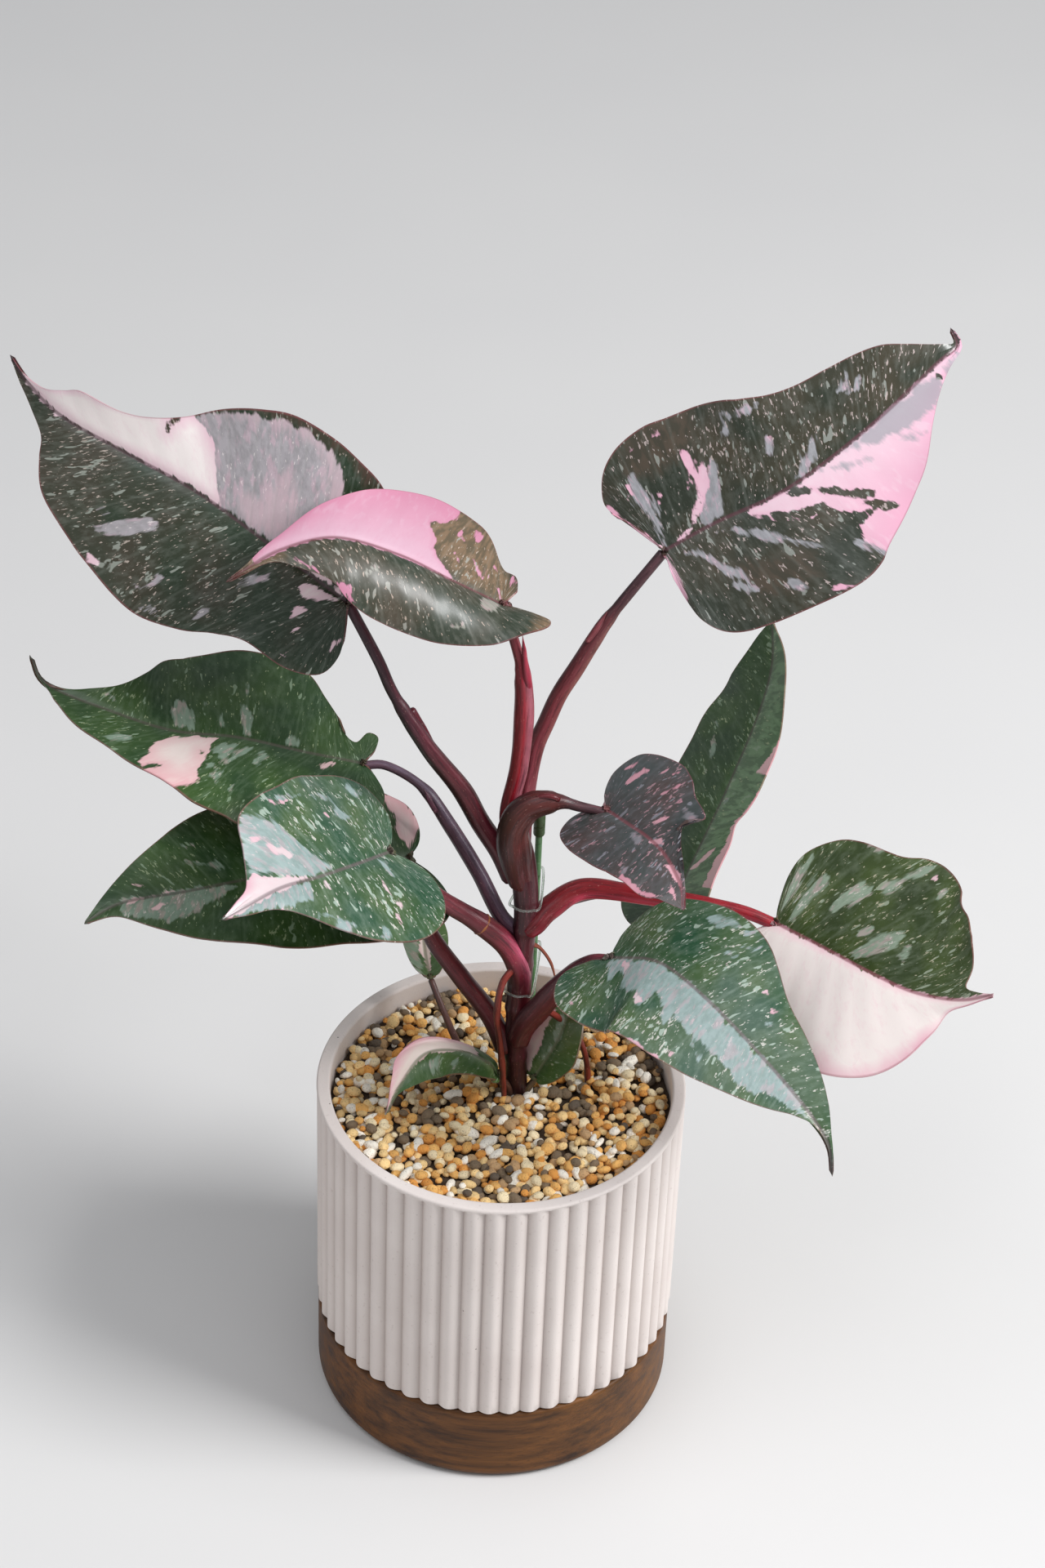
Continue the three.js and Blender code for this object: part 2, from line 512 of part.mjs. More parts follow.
function woodBaseSolid() {
  const recess = footRadius + clearance
  return turned([[0, 0], ...rounded(baseRadius - baseEdge, baseEdge, baseEdge, -90, 0),
    ...rounded(baseRadius - 1, baseHeight - 1, 1, 0, 90, 2), [recess, baseHeight], [recess, baseFloor],
    [0, baseFloor]], roundSegments)
}

function seededRandom(seed) {
  let state = seed
  return () => {
    state = (state * 1664525 + 1013904223) % 4294967296
    return state / 4294967296
  }
}

// Granules in rows, each nudged and turned a little, sunk into the soil's bulk by half.
function substrateSolid() {
  const random = seededRandom(7)
  const reach = potRadius - potWall - 2 * clearance - granuleRadius
  const rows = Math.ceil(reach / granuleSpacing)
  let solid = potHollow(clearance)
  for (let row = -rows; row <= rows; row += 1) {
    for (let column = -rows; column <= rows; column += 1) {
      const x = (column + (row % 2) / 2 + 0.3 * (random() - 0.5)) * granuleSpacing
      const y = (row * 0.87 + 0.3 * (random() - 0.5)) * granuleSpacing
      const size = granuleRadius * (0.75 + 0.25 * random())
      const turn = random() * Math.PI
      if (Math.hypot(x, y) > reach) continue
      const granule = new THREE.SphereGeometry(size, 6, 3).scale(1, 0.85, 0.6).rotateZ(turn)
      solid = solid.add(toSolid(granule).translate([x, y, soilTop - 0.6]))
    }
  }
  return solid
}

// Build

const finishes = {
  wood: { color: 0x5a3d26, roughness: 0.55 },
  stoneware: { color: 0xd9cdca, roughness: 0.8 },
  granules: { color: 0xb59a6c, roughness: 0.95 },
  darkStem: { color: 0x5e1f2b, roughness: 0.4 },
  darkLeaf: { color: 0x36463a, roughness: 0.35 },
  greenLeaf: { color: 0x3d5a3c, roughness: 0.35 },
  pinkLeaf: { color: 0xe8b7b2, roughness: 0.4 },
  greenWire: { color: 0x3f9a3a, roughness: 0.4 },
  clearPlastic: { color: 0xdfe6de, roughness: 0.2 },
  driedSheath: { color: 0x8a4a33, roughness: 0.8 },
}

const plant = new THREE.Group()

function addPiece(name, solid, finish) {
  const material = new THREE.MeshStandardMaterial({ ...finishes[finish], metalness: 0 })
  const mesh = new THREE.Mesh(toGeometry(solid), material)
  mesh.name = name
  plant.add(mesh)
}

const leafFinish = { leaf_top_folded: 'pinkLeaf', leaf_half_pink: 'pinkLeaf', leaf_small_centre: 'darkLeaf',
  leaf_upper_left: 'darkLeaf', leaf_upper_right: 'darkLeaf' }

const swollenStem = stemSolid(clearance)
const ownStalkSolid = petioleSolid(leaves[ownStalk])
const swollenOwnStalk = petioleSolid(leaves[ownStalk], clearance)

addPiece('wood_base', woodBaseSolid(), 'wood')
addPiece('pot', potSolid(), 'stoneware')
addPiece('substrate', substrateSolid().subtract(swollenStem).subtract(swollenOwnStalk)
  .subtract(stakeSolid(clearance)), 'granules')
addPiece('stem_and_petioles', stemSolid().subtract(stakeSolid(clearance)), 'darkStem')
addPiece('shoot_stalk_back_left', ownStalkSolid, 'darkStem')
addPiece('plant_stake', stakeSolid(), 'greenWire')
for (const [name, clip] of Object.entries(clips)) {
  addPiece(name, clipSolid(clip).subtract(swollenStem).subtract(stakeSolid(clearance)), 'clearPlastic')
}
addPiece('dried_bud_sheath', stalk(driedSheathPath, driedSheathRadii, { flat: driedSheathFlat, sides: 6 })
  .subtract(swollenStem), 'driedSheath')
for (const [name, leaf] of Object.entries(leaves)) {
  const seat = name === ownStalk ? swollenOwnStalk : swollenStem
  addPiece(name, bladeSolid(leaf).subtract(seat), leafFinish[name] ?? 'greenLeaf')
}

export default plant
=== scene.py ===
# A potted philodendron with pink and cream markings, in a fluted stoneware pot on a turned wood base.
import itertools
import math
import random
import bpy
import numpy as np
from mathutils import Matrix


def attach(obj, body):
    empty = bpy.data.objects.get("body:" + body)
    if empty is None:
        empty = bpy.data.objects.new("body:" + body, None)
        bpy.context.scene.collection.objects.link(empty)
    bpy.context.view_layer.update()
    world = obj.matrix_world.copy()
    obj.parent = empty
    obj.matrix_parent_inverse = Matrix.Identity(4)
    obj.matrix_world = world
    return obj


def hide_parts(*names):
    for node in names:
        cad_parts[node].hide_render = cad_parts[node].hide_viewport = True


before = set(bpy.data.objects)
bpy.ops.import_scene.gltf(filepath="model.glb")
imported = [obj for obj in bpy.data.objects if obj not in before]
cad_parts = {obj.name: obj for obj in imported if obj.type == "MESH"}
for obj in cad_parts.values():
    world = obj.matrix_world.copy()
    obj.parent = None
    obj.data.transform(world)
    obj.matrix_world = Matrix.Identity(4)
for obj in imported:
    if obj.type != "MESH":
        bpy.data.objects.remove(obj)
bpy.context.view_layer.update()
mm = 0.001


# Helpers

# An sRGB hex colour as the linear RGBA that the shaders take.
def linear(hexCode):
    channels = [int(hexCode[i:i + 2], 16) / 255 for i in (1, 3, 5)]
    return tuple(c / 12.92 if c <= 0.04045 else ((c + 0.055) / 1.055) ** 2.4 for c in channels) + (1.0,)


# Sets a node's inputs: a key is an input's name or number, and a value may be another node.
def feed(tree, node, links):
    for key, value in links.items():
        if isinstance(key, int):
            socket = node.inputs[key]
        else:
            socket = next(s for s in node.inputs if s.name == key and s.enabled)
        if isinstance(value, bpy.types.Node):
            value = next(s for s in value.outputs if s.enabled)
        if isinstance(value, bpy.types.NodeSocket):
            tree.links.new(value, socket)
        else:
            socket.default_value = linear(value) if isinstance(value, str) else value


# Adds a node with its settings and links.
def addNode(tree, kind, links=None, **settings):
    node = tree.nodes.new("ShaderNode" + kind)
    for name, value in settings.items():
        setattr(node, name, value)
    feed(tree, node, links or {})
    return node


# Paints coats over a colour. A coat is a colour and its amount, and may go on with the two values between
# which that amount rises from none to all, and with the most it covers.
def paintOver(tree, colour, *coats):
    for over, amount, *span in coats:
        if span:
            low, high, most = (*span, 1.0)[:3]
            amount = addNode(tree, "MapRange", {
                "Value": amount, "From Min": low, "From Max": high, "To Max": most})
        colour = addNode(tree, "Mix", {"Factor": amount, "A": colour, "B": over}, data_type="RGBA")
    return colour


def newMaterial(name):
    material = bpy.data.materials.new(name)
    material.use_nodes = True
    return material, material.node_tree, material.node_tree.nodes["Principled BSDF"]


def pickNothing():
    if bpy.context.object and bpy.context.object.mode != "OBJECT":
        bpy.ops.object.mode_set(mode="OBJECT")
    bpy.ops.object.select_all(action="DESELECT")


def points(mesh):
    flat = np.empty(len(mesh.vertices) * 3)
    mesh.vertices.foreach_get("co", flat)
    return flat.reshape(-1, 3)


def setPoints(mesh, places):
    mesh.vertices.foreach_set("co", np.asarray(places, dtype=float).ravel())
    mesh.update()


def setMarks(mesh, name, values):
    layer = mesh.attributes.new(name, "FLOAT_VECTOR", "POINT")
    layer.data.foreach_set("vector", np.asarray(values, dtype=float).ravel())


# Adds an object with one of Blender's add operators.
def addObject(name, operator, **settings):
    pickNothing()
    operator(**settings)
    bpy.context.object.name = name
    return bpy.context.object


# A flat grid to be shaped: its points run from -0.5 to 0.5 both ways.
def addGrid(name, columns, rows):
    return addObject(name, bpy.ops.mesh.primitive_grid_add,
                     x_subdivisions=columns, y_subdivisions=rows, size=1)


# Merges points that meet, as at the tips of a leaf and along the seam of a tube.
def mergeDoubles(piece, outward=False):
    bpy.ops.object.mode_set(mode="EDIT")
    bpy.ops.mesh.select_all(action="SELECT")
    bpy.ops.mesh.remove_doubles(threshold=0.01 * mm)
    if outward:
        bpy.ops.mesh.normals_make_consistent(inside=False)
    bpy.ops.object.mode_set(mode="OBJECT")


def joinPieces(name, pieces):
    pickNothing()
    for piece in pieces:
        piece.select_set(True)
    bpy.context.view_layer.objects.active = pieces[0]
    bpy.ops.object.join()
    pieces[0].name = name
    return pieces[0]


# Gives a piece its material and shading, parents it to the root, and hides the imported parts of the nodes
# that it replaces.
def finishPiece(piece, material, smoothAngle, slotName, *nodes):
    if material:
        piece.data.materials.append(material)
    pickNothing()
    piece.select_set(True)
    bpy.context.view_layer.objects.active = piece
    bpy.ops.object.shade_smooth_by_angle(angle=math.radians(smoothAngle))
    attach(piece, "root")
    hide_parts(*nodes)
    print("piece", piece.name, len(piece.data.polygons), "faces")


# Points of a Catmull-Rom curve that passes through its marks, at parameters from 0 to 1.
def catmullRom(marks, t):
    marks = np.asarray(marks, dtype=float)
    padded = np.vstack([2 * marks[0] - marks[1], marks, 2 * marks[-1] - marks[-2]])
    place = np.clip(np.asarray(t, dtype=float), 0, 1) * (len(marks) - 1)
    first = np.minimum(place.astype(int), len(marks) - 2)
    u = (place - first)[..., None]
    a, b, c, d = (padded[first + k] for k in range(4))
    return b + 0.5 * u * (c - a + u * (2 * a - 5 * b + 4 * c - d + u * (3 * (b - c) + d - a)))


# The same curve by its length: its length, and a function of the share of it.
def evenCurve(marks):
    t = np.linspace(0, 1, 800)
    path = catmullRom(marks, t)
    run = np.concatenate([[0], np.cumsum(np.linalg.norm(np.diff(path, axis=0), axis=1))])

    def placeAt(share):
        return np.stack([np.interp(share * run[-1], run, path[:, k]) for k in range(3)], axis=-1)

    return run[-1], placeAt


def unit(vectors):
    return vectors / np.maximum(np.linalg.norm(vectors, axis=-1, keepdims=True), 1e-9)


def smoothStep(low, high, value):
    t = np.clip((value - low) / (high - low), 0, 1)
    return t * t * (3 - 2 * t)


# A value eased from each (place, value) pair to the next.
def easedAlong(pairs, t):
    t = np.asarray(t, dtype=float)
    result = np.full(t.shape, float(pairs[0][1]))
    for (start, low), (end, high) in zip(pairs, pairs[1:]):
        part = (t > start) & (t <= end)
        result[part] = low + (high - low) * smoothStep(start, end, t[part])
    result[t > pairs[-1][0]] = pairs[-1][1]
    return result


# Camera, floor and light

view = {
    "lens": 85,
    "sensor": 36,
    "farthest": 20,
    "place": (1.29, -1001.77, 1055.40),
    "pitch": 0.6602,  # radians, as yaw and roll
    "yaw": 0.0021,
    "roll": 0.0399,
}


# Stands a camera or lamp at a place, with its own axes pointing the given ways.
def standAt(thing, side, top, back, place):
    axes = np.column_stack([side, top, back, place])
    thing.matrix_world = Matrix([list(row) for row in axes] + [[0, 0, 0, 1]])


camera = addObject("Camera", bpy.ops.object.camera_add)
camera.data.lens = view["lens"]
camera.data.sensor_width = view["sensor"]
camera.data.clip_end = view["farthest"]
forward = np.array([math.sin(view["yaw"]) * math.cos(view["pitch"]),
                    math.cos(view["yaw"]) * math.cos(view["pitch"]), -math.sin(view["pitch"])])
level = np.array([math.cos(view["yaw"]), -math.sin(view["yaw"]), 0])
upright = np.cross(level, forward)
rightward = level * math.cos(view["roll"]) + upright * math.sin(view["roll"])
upward = upright * math.cos(view["roll"]) - level * math.sin(view["roll"])
standAt(camera, rightward, upward, -forward, np.array(view["place"]) * mm)
bpy.context.scene.camera = camera

studio = {
    "floorSize": 6,
    "floorColour": "#d9d8d6",
    "floorMottle": "#d4d3d2",
    "worldColour": "#e3e6ea",
    "worldStrength": 0.46,
    "aim": (0, 0, 0.2),
    "lamps": {  # place, size, watts, colour
        "window": ((1.5, -0.42, 1.62), 0.85, 52, "#fbfbfc"),
        "skylight": ((-0.5, -0.7, 2.3), 1.7, 15, "#f7f9ff"),
        "fill": ((-1.9, -1.3, 0.9), 1.8, 4, "#ffeee0"),
    },
}

floor = addObject("floor", bpy.ops.mesh.primitive_plane_add, size=studio["floorSize"], location=(0, 0, 0))
# Painted board: matte, with a faint mottle.
paint, tree, shader = newMaterial("painted board")
spot = addNode(tree, "TexCoord").outputs["Object"]
mottle = addNode(tree, "TexNoise", {"Vector": spot, "Scale": 6.0})
feed(tree, shader, {
    "Base Color": paintOver(tree, studio["floorColour"], (studio["floorMottle"], mottle)), "Roughness": 0.8})
floor.data.materials.append(paint)

world = bpy.data.worlds.new("studio")
world.use_nodes = True
feed(world.node_tree, world.node_tree.nodes["Background"], {
    "Color": studio["worldColour"], "Strength": studio["worldStrength"]})
bpy.context.scene.world = world
for lampName, (place, size, watts, colour) in studio["lamps"].items():
    lamp = addObject(lampName, bpy.ops.object.light_add, type="AREA", location=place)
    lamp.data.size = size
    lamp.data.energy = watts
    lamp.data.color = linear(colour)[:3]
    aim = unit(np.array(studio["aim"]) - np.array(place))
    side = unit(np.cross(aim, [0, 0, 1]))
    standAt(lamp, side, np.cross(side, aim), -aim, place)
bpy.context.scene.view_settings.view_transform = "Standard"
print("camera, floor and light")


# Leaves
# Each leaf has its rib in the air, the way its face looks at both ends, the outline of each half along
# and away from the rib, and the fold and bend of the left half at both ends, then of the right one.
# Its markings are outlines in the same millimetres along and away, with the left half positive.

leaves = {
    "leaf_upper_left": {
        "look": "smokyLeaf", "warmTone": "#4a352b",
        "rib": [-59, 34, 327, -82, 40, 342, -110, 50, 358, -136, 60, 367, -159, 72, 373, -172, 86, 377,
            -180, 98, 381],
        "face": [(-0.05, -0.85, 0.5), (-0.25, -0.8, 0.5)],
        "fold": (8, 6, 0, 22), "bend": (-0.25, -0.25, -0.1, -0.1),
        "left": [0, 0, -5, 8, -9, 17, -7, 26, 4, 31, 20, 31.5, 30, 36, 40, 42, 56, 46.7, 74, 44.7, 92, 37.7,
            104, 31, 112, 25, 117, 16, 121, 9.5, 129, 5, 141, 2, 152, 0],
        "right": [0, 0, -5, 6, -9, 14, -8, 24, 2, 32, 14, 39, 24, 41.3, 36, 42.7, 50, 41.5, 59, 37, 68, 30,
            77, 21.5, 87, 16, 98, 12.5, 114, 12, 122, 8, 130, 3.5, 140, 1, 152, 0],
        "petiole": [2, 12, 224, -4, 15, 236, -11, 17, 247, -18, 20, 259, -30, 22, 275, -42, 26, 294,
            -48, 29, 307],
        "radii": [0, 3.8, 0.3, 3.6, 0.45, 3.2, 0.57, 2.9, 0.64, 2.6, 0.68, 2, 1, 1.9],
        "pink": [[54, -0.3, 58, -6, 62, -12, 66, -17, 71, -21.5, 78, -24, 92, -18, 104, -15, 116, -14,
            128, -6, 142, -3, 142, -0.3], [3, 1.5, 8, 5, 13, 8, 17, 5, 12, 2], [9, 10, 12, 16, 13, 12],
            [7, 17, 9, 22, 9, 18], [-6, 12, -5, 19, -4, 14], [4, 26, 9, 30, 8, 27], [2, -1, 14, -4, 30, -1],
            [80, 38, 86, 40, 88, 37], [118, -1, 140, -1, 139, 0.5, 120, 0.5]],
        "mint": [[30, -6, 26, -20, 22, -28, 28, -36, 40, -40, 52, -38, 62, -33, 72, -26, 77, -21, 70, -16,
            64, -8, 58, -1, 33, -1], [68, 18, 76, 24, 84, 27.5, 90, 28, 86, 23, 78, 17, 72, 15], [87, 20,
            91, 23, 93, 22, 90, 19], [26, 9, 32, 15, 34, 19, 31, 12], [50, 42, 60, 45, 58, 43], [56, 30,
            58, 34, 60, 31], [36, 31, 38, 35, 38, 31], [60, 37, 69, 40, 66, 38]],
        "bare": [[79.5, -15.5, 80.5, -13.5, 81.5, -17, 82.5, -26, 79, -26]],
        "warm": [[78, -12, 84, -12, 85, -26, 77, -26], [16, -36, 30, -41, 50, -40, 60, -35, 62, -37, 50, -44,
            30, -45, 14, -41]],
        "wash": [[33, -2, 31, -11, 36, -19, 42, -24, 45, -19, 44, -10, 50, -8, 47, -2], [20, -22, 24, -34,
            36, -42, 50, -43, 62, -38, 74, -28, 70, -27, 58, -34, 44, -38, 32, -34, 25, -24]],
    },
    "leaf_top_folded": {
        "look": "foldedLeaf", "warmTone": "#77614a", "crease": 0.1, "lobeTilt": 22,
        "rib": [-6, 28, 333, -23, 28, 342, -41, 26, 353, -62, 23, 361, -80, 16, 360, -92, 10, 355,
            -98, 9, 351],
        "face": [(0.35, -0.35, 0.85), (0.1, -0.45, 0.85)],
        "fold": (35, 15, -10, 0), "bend": (-3.2, -3, -0.3, -0.3),
        "left": [0, 0, -6, 1, -12, 2.3, -16, 3.8, -17, 6, -14, 9.5, -8, 14, 0, 19.5, 10, 24, 22, 27, 36, 28,
            50, 25, 64, 19, 77, 11, 88, 3, 104, 0],
        "right": [0, 0, -3, 5, -4.5, 9, -3.5, 14.5, 0.5, 17, 4, 22, 8, 27, 12.5, 32.5, 18, 34.8, 28, 34,
            40, 29.5, 52, 23, 64, 14.5, 78, 6.5, 92, 2, 104, 0],
        "petiole": [3, 11, 236, -1, 14, 252, 2, 17, 272, 3, 20, 291, 2, 22, 307, -2, 24, 323],
        "radii": [0, 3.3, 0.4, 3.3, 0.58, 3.5, 0.7, 3.1, 0.75, 2.4, 0.79, 1.8, 1, 1.7],
        "pink": [[18, -0.5, 22, -3, 27, -7, 28, -10, 27, -14, 30, -19, 29, -21, 24, -24, 20, -30, 18, -38,
            28, -38, 44, -31, 56, -24, 70, -14, 84, -8, 92, -3, 92, 0.3, 60, 0.8, 30, 0.5], [11, -24, 14, -22,
            14, -29, 11, -28], [9, -7, 13, -14, 11, -8], [17, -20, 20, -22, 18, -25], [16, -9, 20, -13,
            18, -8], [5, -8, 7, -12, 7, -8], [-3.8, -12, -2, -9, -1, -14, -3, -15.5], [4, -14, 6, -19,
            6, -15], [56, 18, 66, 17, 62, 21, 56, 21], [72, 14, 78, 9, 80, 5, 76, 9], [52, 23, 60, 20,
            58, 23], [1, -2, 3, -6, 2, -6]],
        "mint": [[0.5, 1, 2, 5, 7, 9, 8, 3, 5, 1], [48, 10, 51, 14, 53, 12, 50, 9], [24, 2, 27, 4, 26, 1.5],
            [12, 17, 17, 22, 16, 18]],
        "warm": [[-4, -1, 6, -1, 16, -2, 24, -6, 30, -12, 31, -20, 26, -27, 20, -36, 14, -34, 8, -30, 2, -20,
            -3, -12], [84, -5, 105, -3, 105, 3, 84, 4], [-26, -3, -12, 0, -12, 13, -26, 13]],
    },
    "leaf_upper_right": {
        "look": "oliveLeaf", "warmTone": "#4b4135",
        "rib": [49, 52, 341, 66, 54, 352, 90, 56, 366, 116, 66, 385, 138, 79, 403, 145, 85, 407,
            143, 92, 410],
        "face": [(-0.16, -0.86, 0.5), (0.1, -0.78, 0.62)],
        "fold": (8, 8, 10, 10), "bend": (-0.2, -0.2, -0.2, -0.2),
        "left": [0, 0, -3, 9, -7, 16, -10.5, 23, -8, 30, -3, 35.5, 4, 39, 14, 40.6, 22, 39.5, 32, 38.8,
            42, 37, 52, 34, 62, 29.8, 72, 26.8, 84, 24.5, 95, 21.8, 104, 17.8, 111, 11.5, 117, 5.5, 123, 1.8,
            132, 0],
        "right": [0, 0, -1, 5, -1.5, 12, -1, 20, 1, 28, 6, 35, 14, 38.5, 26, 39.8, 40, 40, 52, 40.7, 59, 39,
            64, 35.5, 75, 30, 87, 23, 98, 14, 108, 7.5, 119, 3, 132, 0],
        "petiole": [4, 15, 237, 4.5, 21, 253, 7, 27, 271, 11, 31, 281.5, 15, 35, 290.5, 20.5, 39, 299,
            26.5, 43, 309, 32, 46, 317.5],
        "radii": [0, 3.2, 0.3, 3.2, 0.5, 3, 0.65, 2.8, 0.74, 2.5, 0.78, 1.95, 1, 1.8],
        "pink": [[30, -0.5, 34, -4, 42, -9, 50, -13, 53, -12, 60, -18, 66, -23, 60, -24, 58, -30, 63, -38,
            70, -35, 82, -28.5, 96, -19, 108, -11, 122, -4, 131, -0.5, 95, -0.2, 60, -0.5], [5, 0.5, 12, 3,
            18, 10, 21, 16, 24, 20, 27, 20, 24, 13, 19, 7, 13, 1.5], [17, 14, 20, 19, 22, 24, 24, 24, 21, 17],
            [19.5, 21, 21, 27, 23.5, 25, 21.5, 21], [-1, 2, -5, 9, -9.5, 15, -12, 24, -9, 22, -7, 15,
            -2.5, 8], [-2, 21, -1, 27, 1, 26, 0, 22], [7, 15, 8, 19, 9, 17], [-0.5, -2, -2, -10, -2, -20,
            0, -18, 0.4, -8], [47, -37, 50, -41, 44, -37], [7, 35, 8, 38, 9, 36], [15, 36, 17, 38, 17, 35],
            [2, -14, 3, -18, 3, -14], [51, 17, 53, 19, 54, 17]],
        "mint": [[14, 1, 19, 8, 25, 17, 28, 20, 29, 18, 27, 8, 25, 1], [1, 1.5, 1, 14, -1, 20, 1, 27, 3.5, 28,
            5, 20, 5, 13, 2, 4], [74, -2, 80, -5, 90, -8, 100, -9.5, 107, -7.5, 104, -4, 95, -1.5, 80, -0.8],
            [85, -10, 90, -14, 95, -14, 90, -10], [50, 0.5, 58, 5, 63, 10, 67, 10, 62, 4, 57, 1], [40, 31,
            48, 32, 56, 30, 50, 29], [80, 16, 88, 19, 84, 14.5], [83, 13, 91, 15, 88, 12.5], [46, 13, 51, 19,
            53, 17, 49, 13], [6, -4, 10, -8, 14, -15, 20, -22, 24, -24, 22, -19, 16, -14, 12, -7], [20, -3,
            30, -9, 40, -16, 48, -24, 46, -19, 36, -10, 26, -4], [56, -28, 61, -38, 66, -33, 62, -29],
            [16, -22, 22, -28, 26, -27, 20, -22], [35, 27, 38, 29, 38, 26], [37, 32, 39, 34, 41, 32],
            [34, -29, 40, -34, 38, -29]],
        "bare": [[49, -1, 55, -4.6, 53, -5.2, 47, -2.5], [55, -5.5, 60, -8, 64, -12, 67, -14, 71, -18,
            70, -20, 65, -17.5, 61, -13, 57, -9], [63, -16, 67, -19, 71, -23, 74, -27, 71, -27, 66, -21],
            [34, -3, 46, -7.5, 55, -11, 55, -13.5, 48, -12.5, 40, -8], [50, -15, 62, -20, 65, -24, 58, -24],
            [109, -4, 112, -5, 111, -3]],
        "warm": [[0, 30, 10, 24, 26, 26, 28, 40, 10, 44], [14, -14, 30, -18, 44, -22, 44, -32, 24, -30]],
        "smoke": [[70, -0.5, 80, -5, 90, -8.5, 100, -10.5, 108, -9, 112, -3, 104, -1, 95, -0.3], [60, -1,
            68, -6, 76, -9, 70, -5], [85, -10, 90, -14, 97, -15, 90, -10], [112, -6, 120, -4.5, 122, -2,
            114, -3]],
    },
    "leaf_mid_left": {
        "look": "deepLeaf",
        "rib": [-54, 43, 251, -75, 42, 256, -98, 41, 262, -120, 38, 266, -140, 39, 272, -165, 45, 279,
            -172, 54, 285],
        "face": [(0.1, -0.25, 0.95), (0, -0.3, 0.95)], "fold": (8, 8, 8, 8), "bend": (-0.3, -0.3, -0.3, -0.3),
        "left": [0, 0, -5, 5, -9, 13, -7, 23, 4, 31, 20, 36, 38, 38, 52, 36, 61, 32, 68, 25, 77, 20, 86, 16,
            96, 13.3, 103, 10, 110, 5, 116, 1.2, 129, 0],
        "right": [0, 0, -4, 6, -5, 12, -1, 13, 3, 8, 8, 11, 11, 18, 16, 26, 22, 33, 32, 37, 44, 37.5,
            54, 34.8, 67, 32, 78, 27, 84, 19.5, 92, 10.5, 101, 5.5, 112, 1, 129, 0],
        "petiole": [6, 11, 201, -2, 14, 206, -11, 23, 219, -22, 32, 233, -32, 39, 244, -45, 43, 250],
        "radii": [0, 3, 0.5, 2.7, 0.68, 2.4, 0.76, 1.7, 1, 1.6],
        "pink": [[52, 1.5, 55, 6, 58, 12, 60, 16, 60, 22, 64, 25, 68, 28, 73, 25, 76, 20, 77, 16, 75, 12,
            74, 8, 68, 3, 60, 1], [9, 2.5, 13, 7, 16, 10, 15, 5, 12, 2.5]],
        "mint": [[40, 4, 46, 10, 50, 13, 47, 8, 42, 4], [46, 4, 52, 12, 55, 8, 52, 4], [53, 15, 57, 17,
            57, 14], [33, 6, 38, 11, 40, 10, 36, 5], [50, 16, 54, 22, 56, 19], [41, -2, 42, -10, 45, -16,
            46.5, -16, 45, -9, 42, -2], [61, -2, 62, -9, 66, -13, 70, -12, 70, -7, 68, -2], [42, -17, 44, -22,
            44, -19], [44, 22, 48, 26, 50, 25, 46, 21], [82, 9, 88, 13, 90, 12, 86, 8], [56, -12, 58, -15,
            57.5, -12], [50, -3, 52, -9, 53, -6], [24, -2, 26, -5, 27, -2], [90, -4, 94, -7, 96, -5]],
        "bare": [[71, 17, 75, 20, 75, 17], [56, 9, 60, 12, 59, 8]],
    },
    "leaf_low_left": {
        "look": "deepLeaf",
        "rib": [-36, 26, 222, -65, 16, 226, -90, 3, 229, -112, -8, 231, -134, -17, 232, -146, -25, 229],
        "face": [(0.15, -0.3, 0.95), (0.1, -0.3, 0.95)],
        "fold": (8, 8, 8, 8), "bend": (-0.3, -0.3, -0.3, -0.3),
        "left": [0, 0, -6, 7, -10, 17, -8, 27, 2, 33, 16, 35, 34, 35, 51, 33, 68, 28, 84, 22, 98, 14, 111, 5,
            123, 0],
        "right": [0, 0, -5, 6, -6, 14, -2, 23, 8, 30, 22, 33, 38, 35, 55, 33, 71, 29, 86, 23, 99, 15, 112, 5,
            123, 0],
        "petiole": [2, 6, 148, -5, 10, 163, -16, 13, 178, -27, 17, 193, -33, 21, 208],
        "radii": [0, 3.8, 0.5, 3.4, 1, 2.3],
        "pink": [[90, 4, 96, 6, 99, 5.5, 94, 3.5], [97, -4, 101, -6, 103, -6, 100, -4], [88, -1, 106, 1.2,
            104, -0.3], [-1, -4, 3, -10, 2, -18, 6, -28, -1, -26, -7, -14]],
        "mint": [[66, 2, 76, 7, 84, 9.5, 94, 12.5, 104, 8, 110, 3, 108, -0.5, 90, -1, 76, -0.5], [66, -5,
            70, -11, 73, -9, 70, -5], [75, -9, 80, -12, 82, -12, 78, -9], [74, -17, 80, -18, 78, -16]],
    },
    "leaf_front_left": {
        "look": "fleckedLeaf",
        "rib": [-42, 2, 244, -51, -13, 251, -64, -30, 258, -76, -44, 264, -87, -57, 266, -94, -64, 266],
        "face": [(0.3, -0.35, 0.85), (0.2, -0.6, 0.75)],
        "fold": (6, 6, 6, 6), "bend": (-0.3, -0.3, -0.3, -0.3),
        "left": [0, 0, -5, 5, -10, 14, -8, 23, 0, 31, 11, 34, 23, 33, 35, 28, 46, 20, 57, 12, 68, 6, 79, 3,
            88, 0],
        "right": [0, 0, -7, 5, -13, 14, -12, 25, -3, 33, 10, 37, 24, 37, 38, 35, 52, 33, 62, 28, 67, 16,
            73, 6, 81, 2.5, 88, 0],
        "petiole": [5.3, 7.6, 170, 5.3, 7.5, 180, 4.4, 6.8, 190, -0.5, 6.8, 200, -10, 6, 210, -23, 4, 221,
            -32, 2, 231],
        "radii": [0, 3.6, 0.1, 3.9, 0.22, 4.3, 0.45, 4.2, 0.58, 3.4, 1, 2.4],
        "pink": [[46, -0.8, 58, -3, 66, -6, 68, -8.5, 74, -6.5, 88, -1, 84, 1.5, 60, 1], [50, -10, 54, -13,
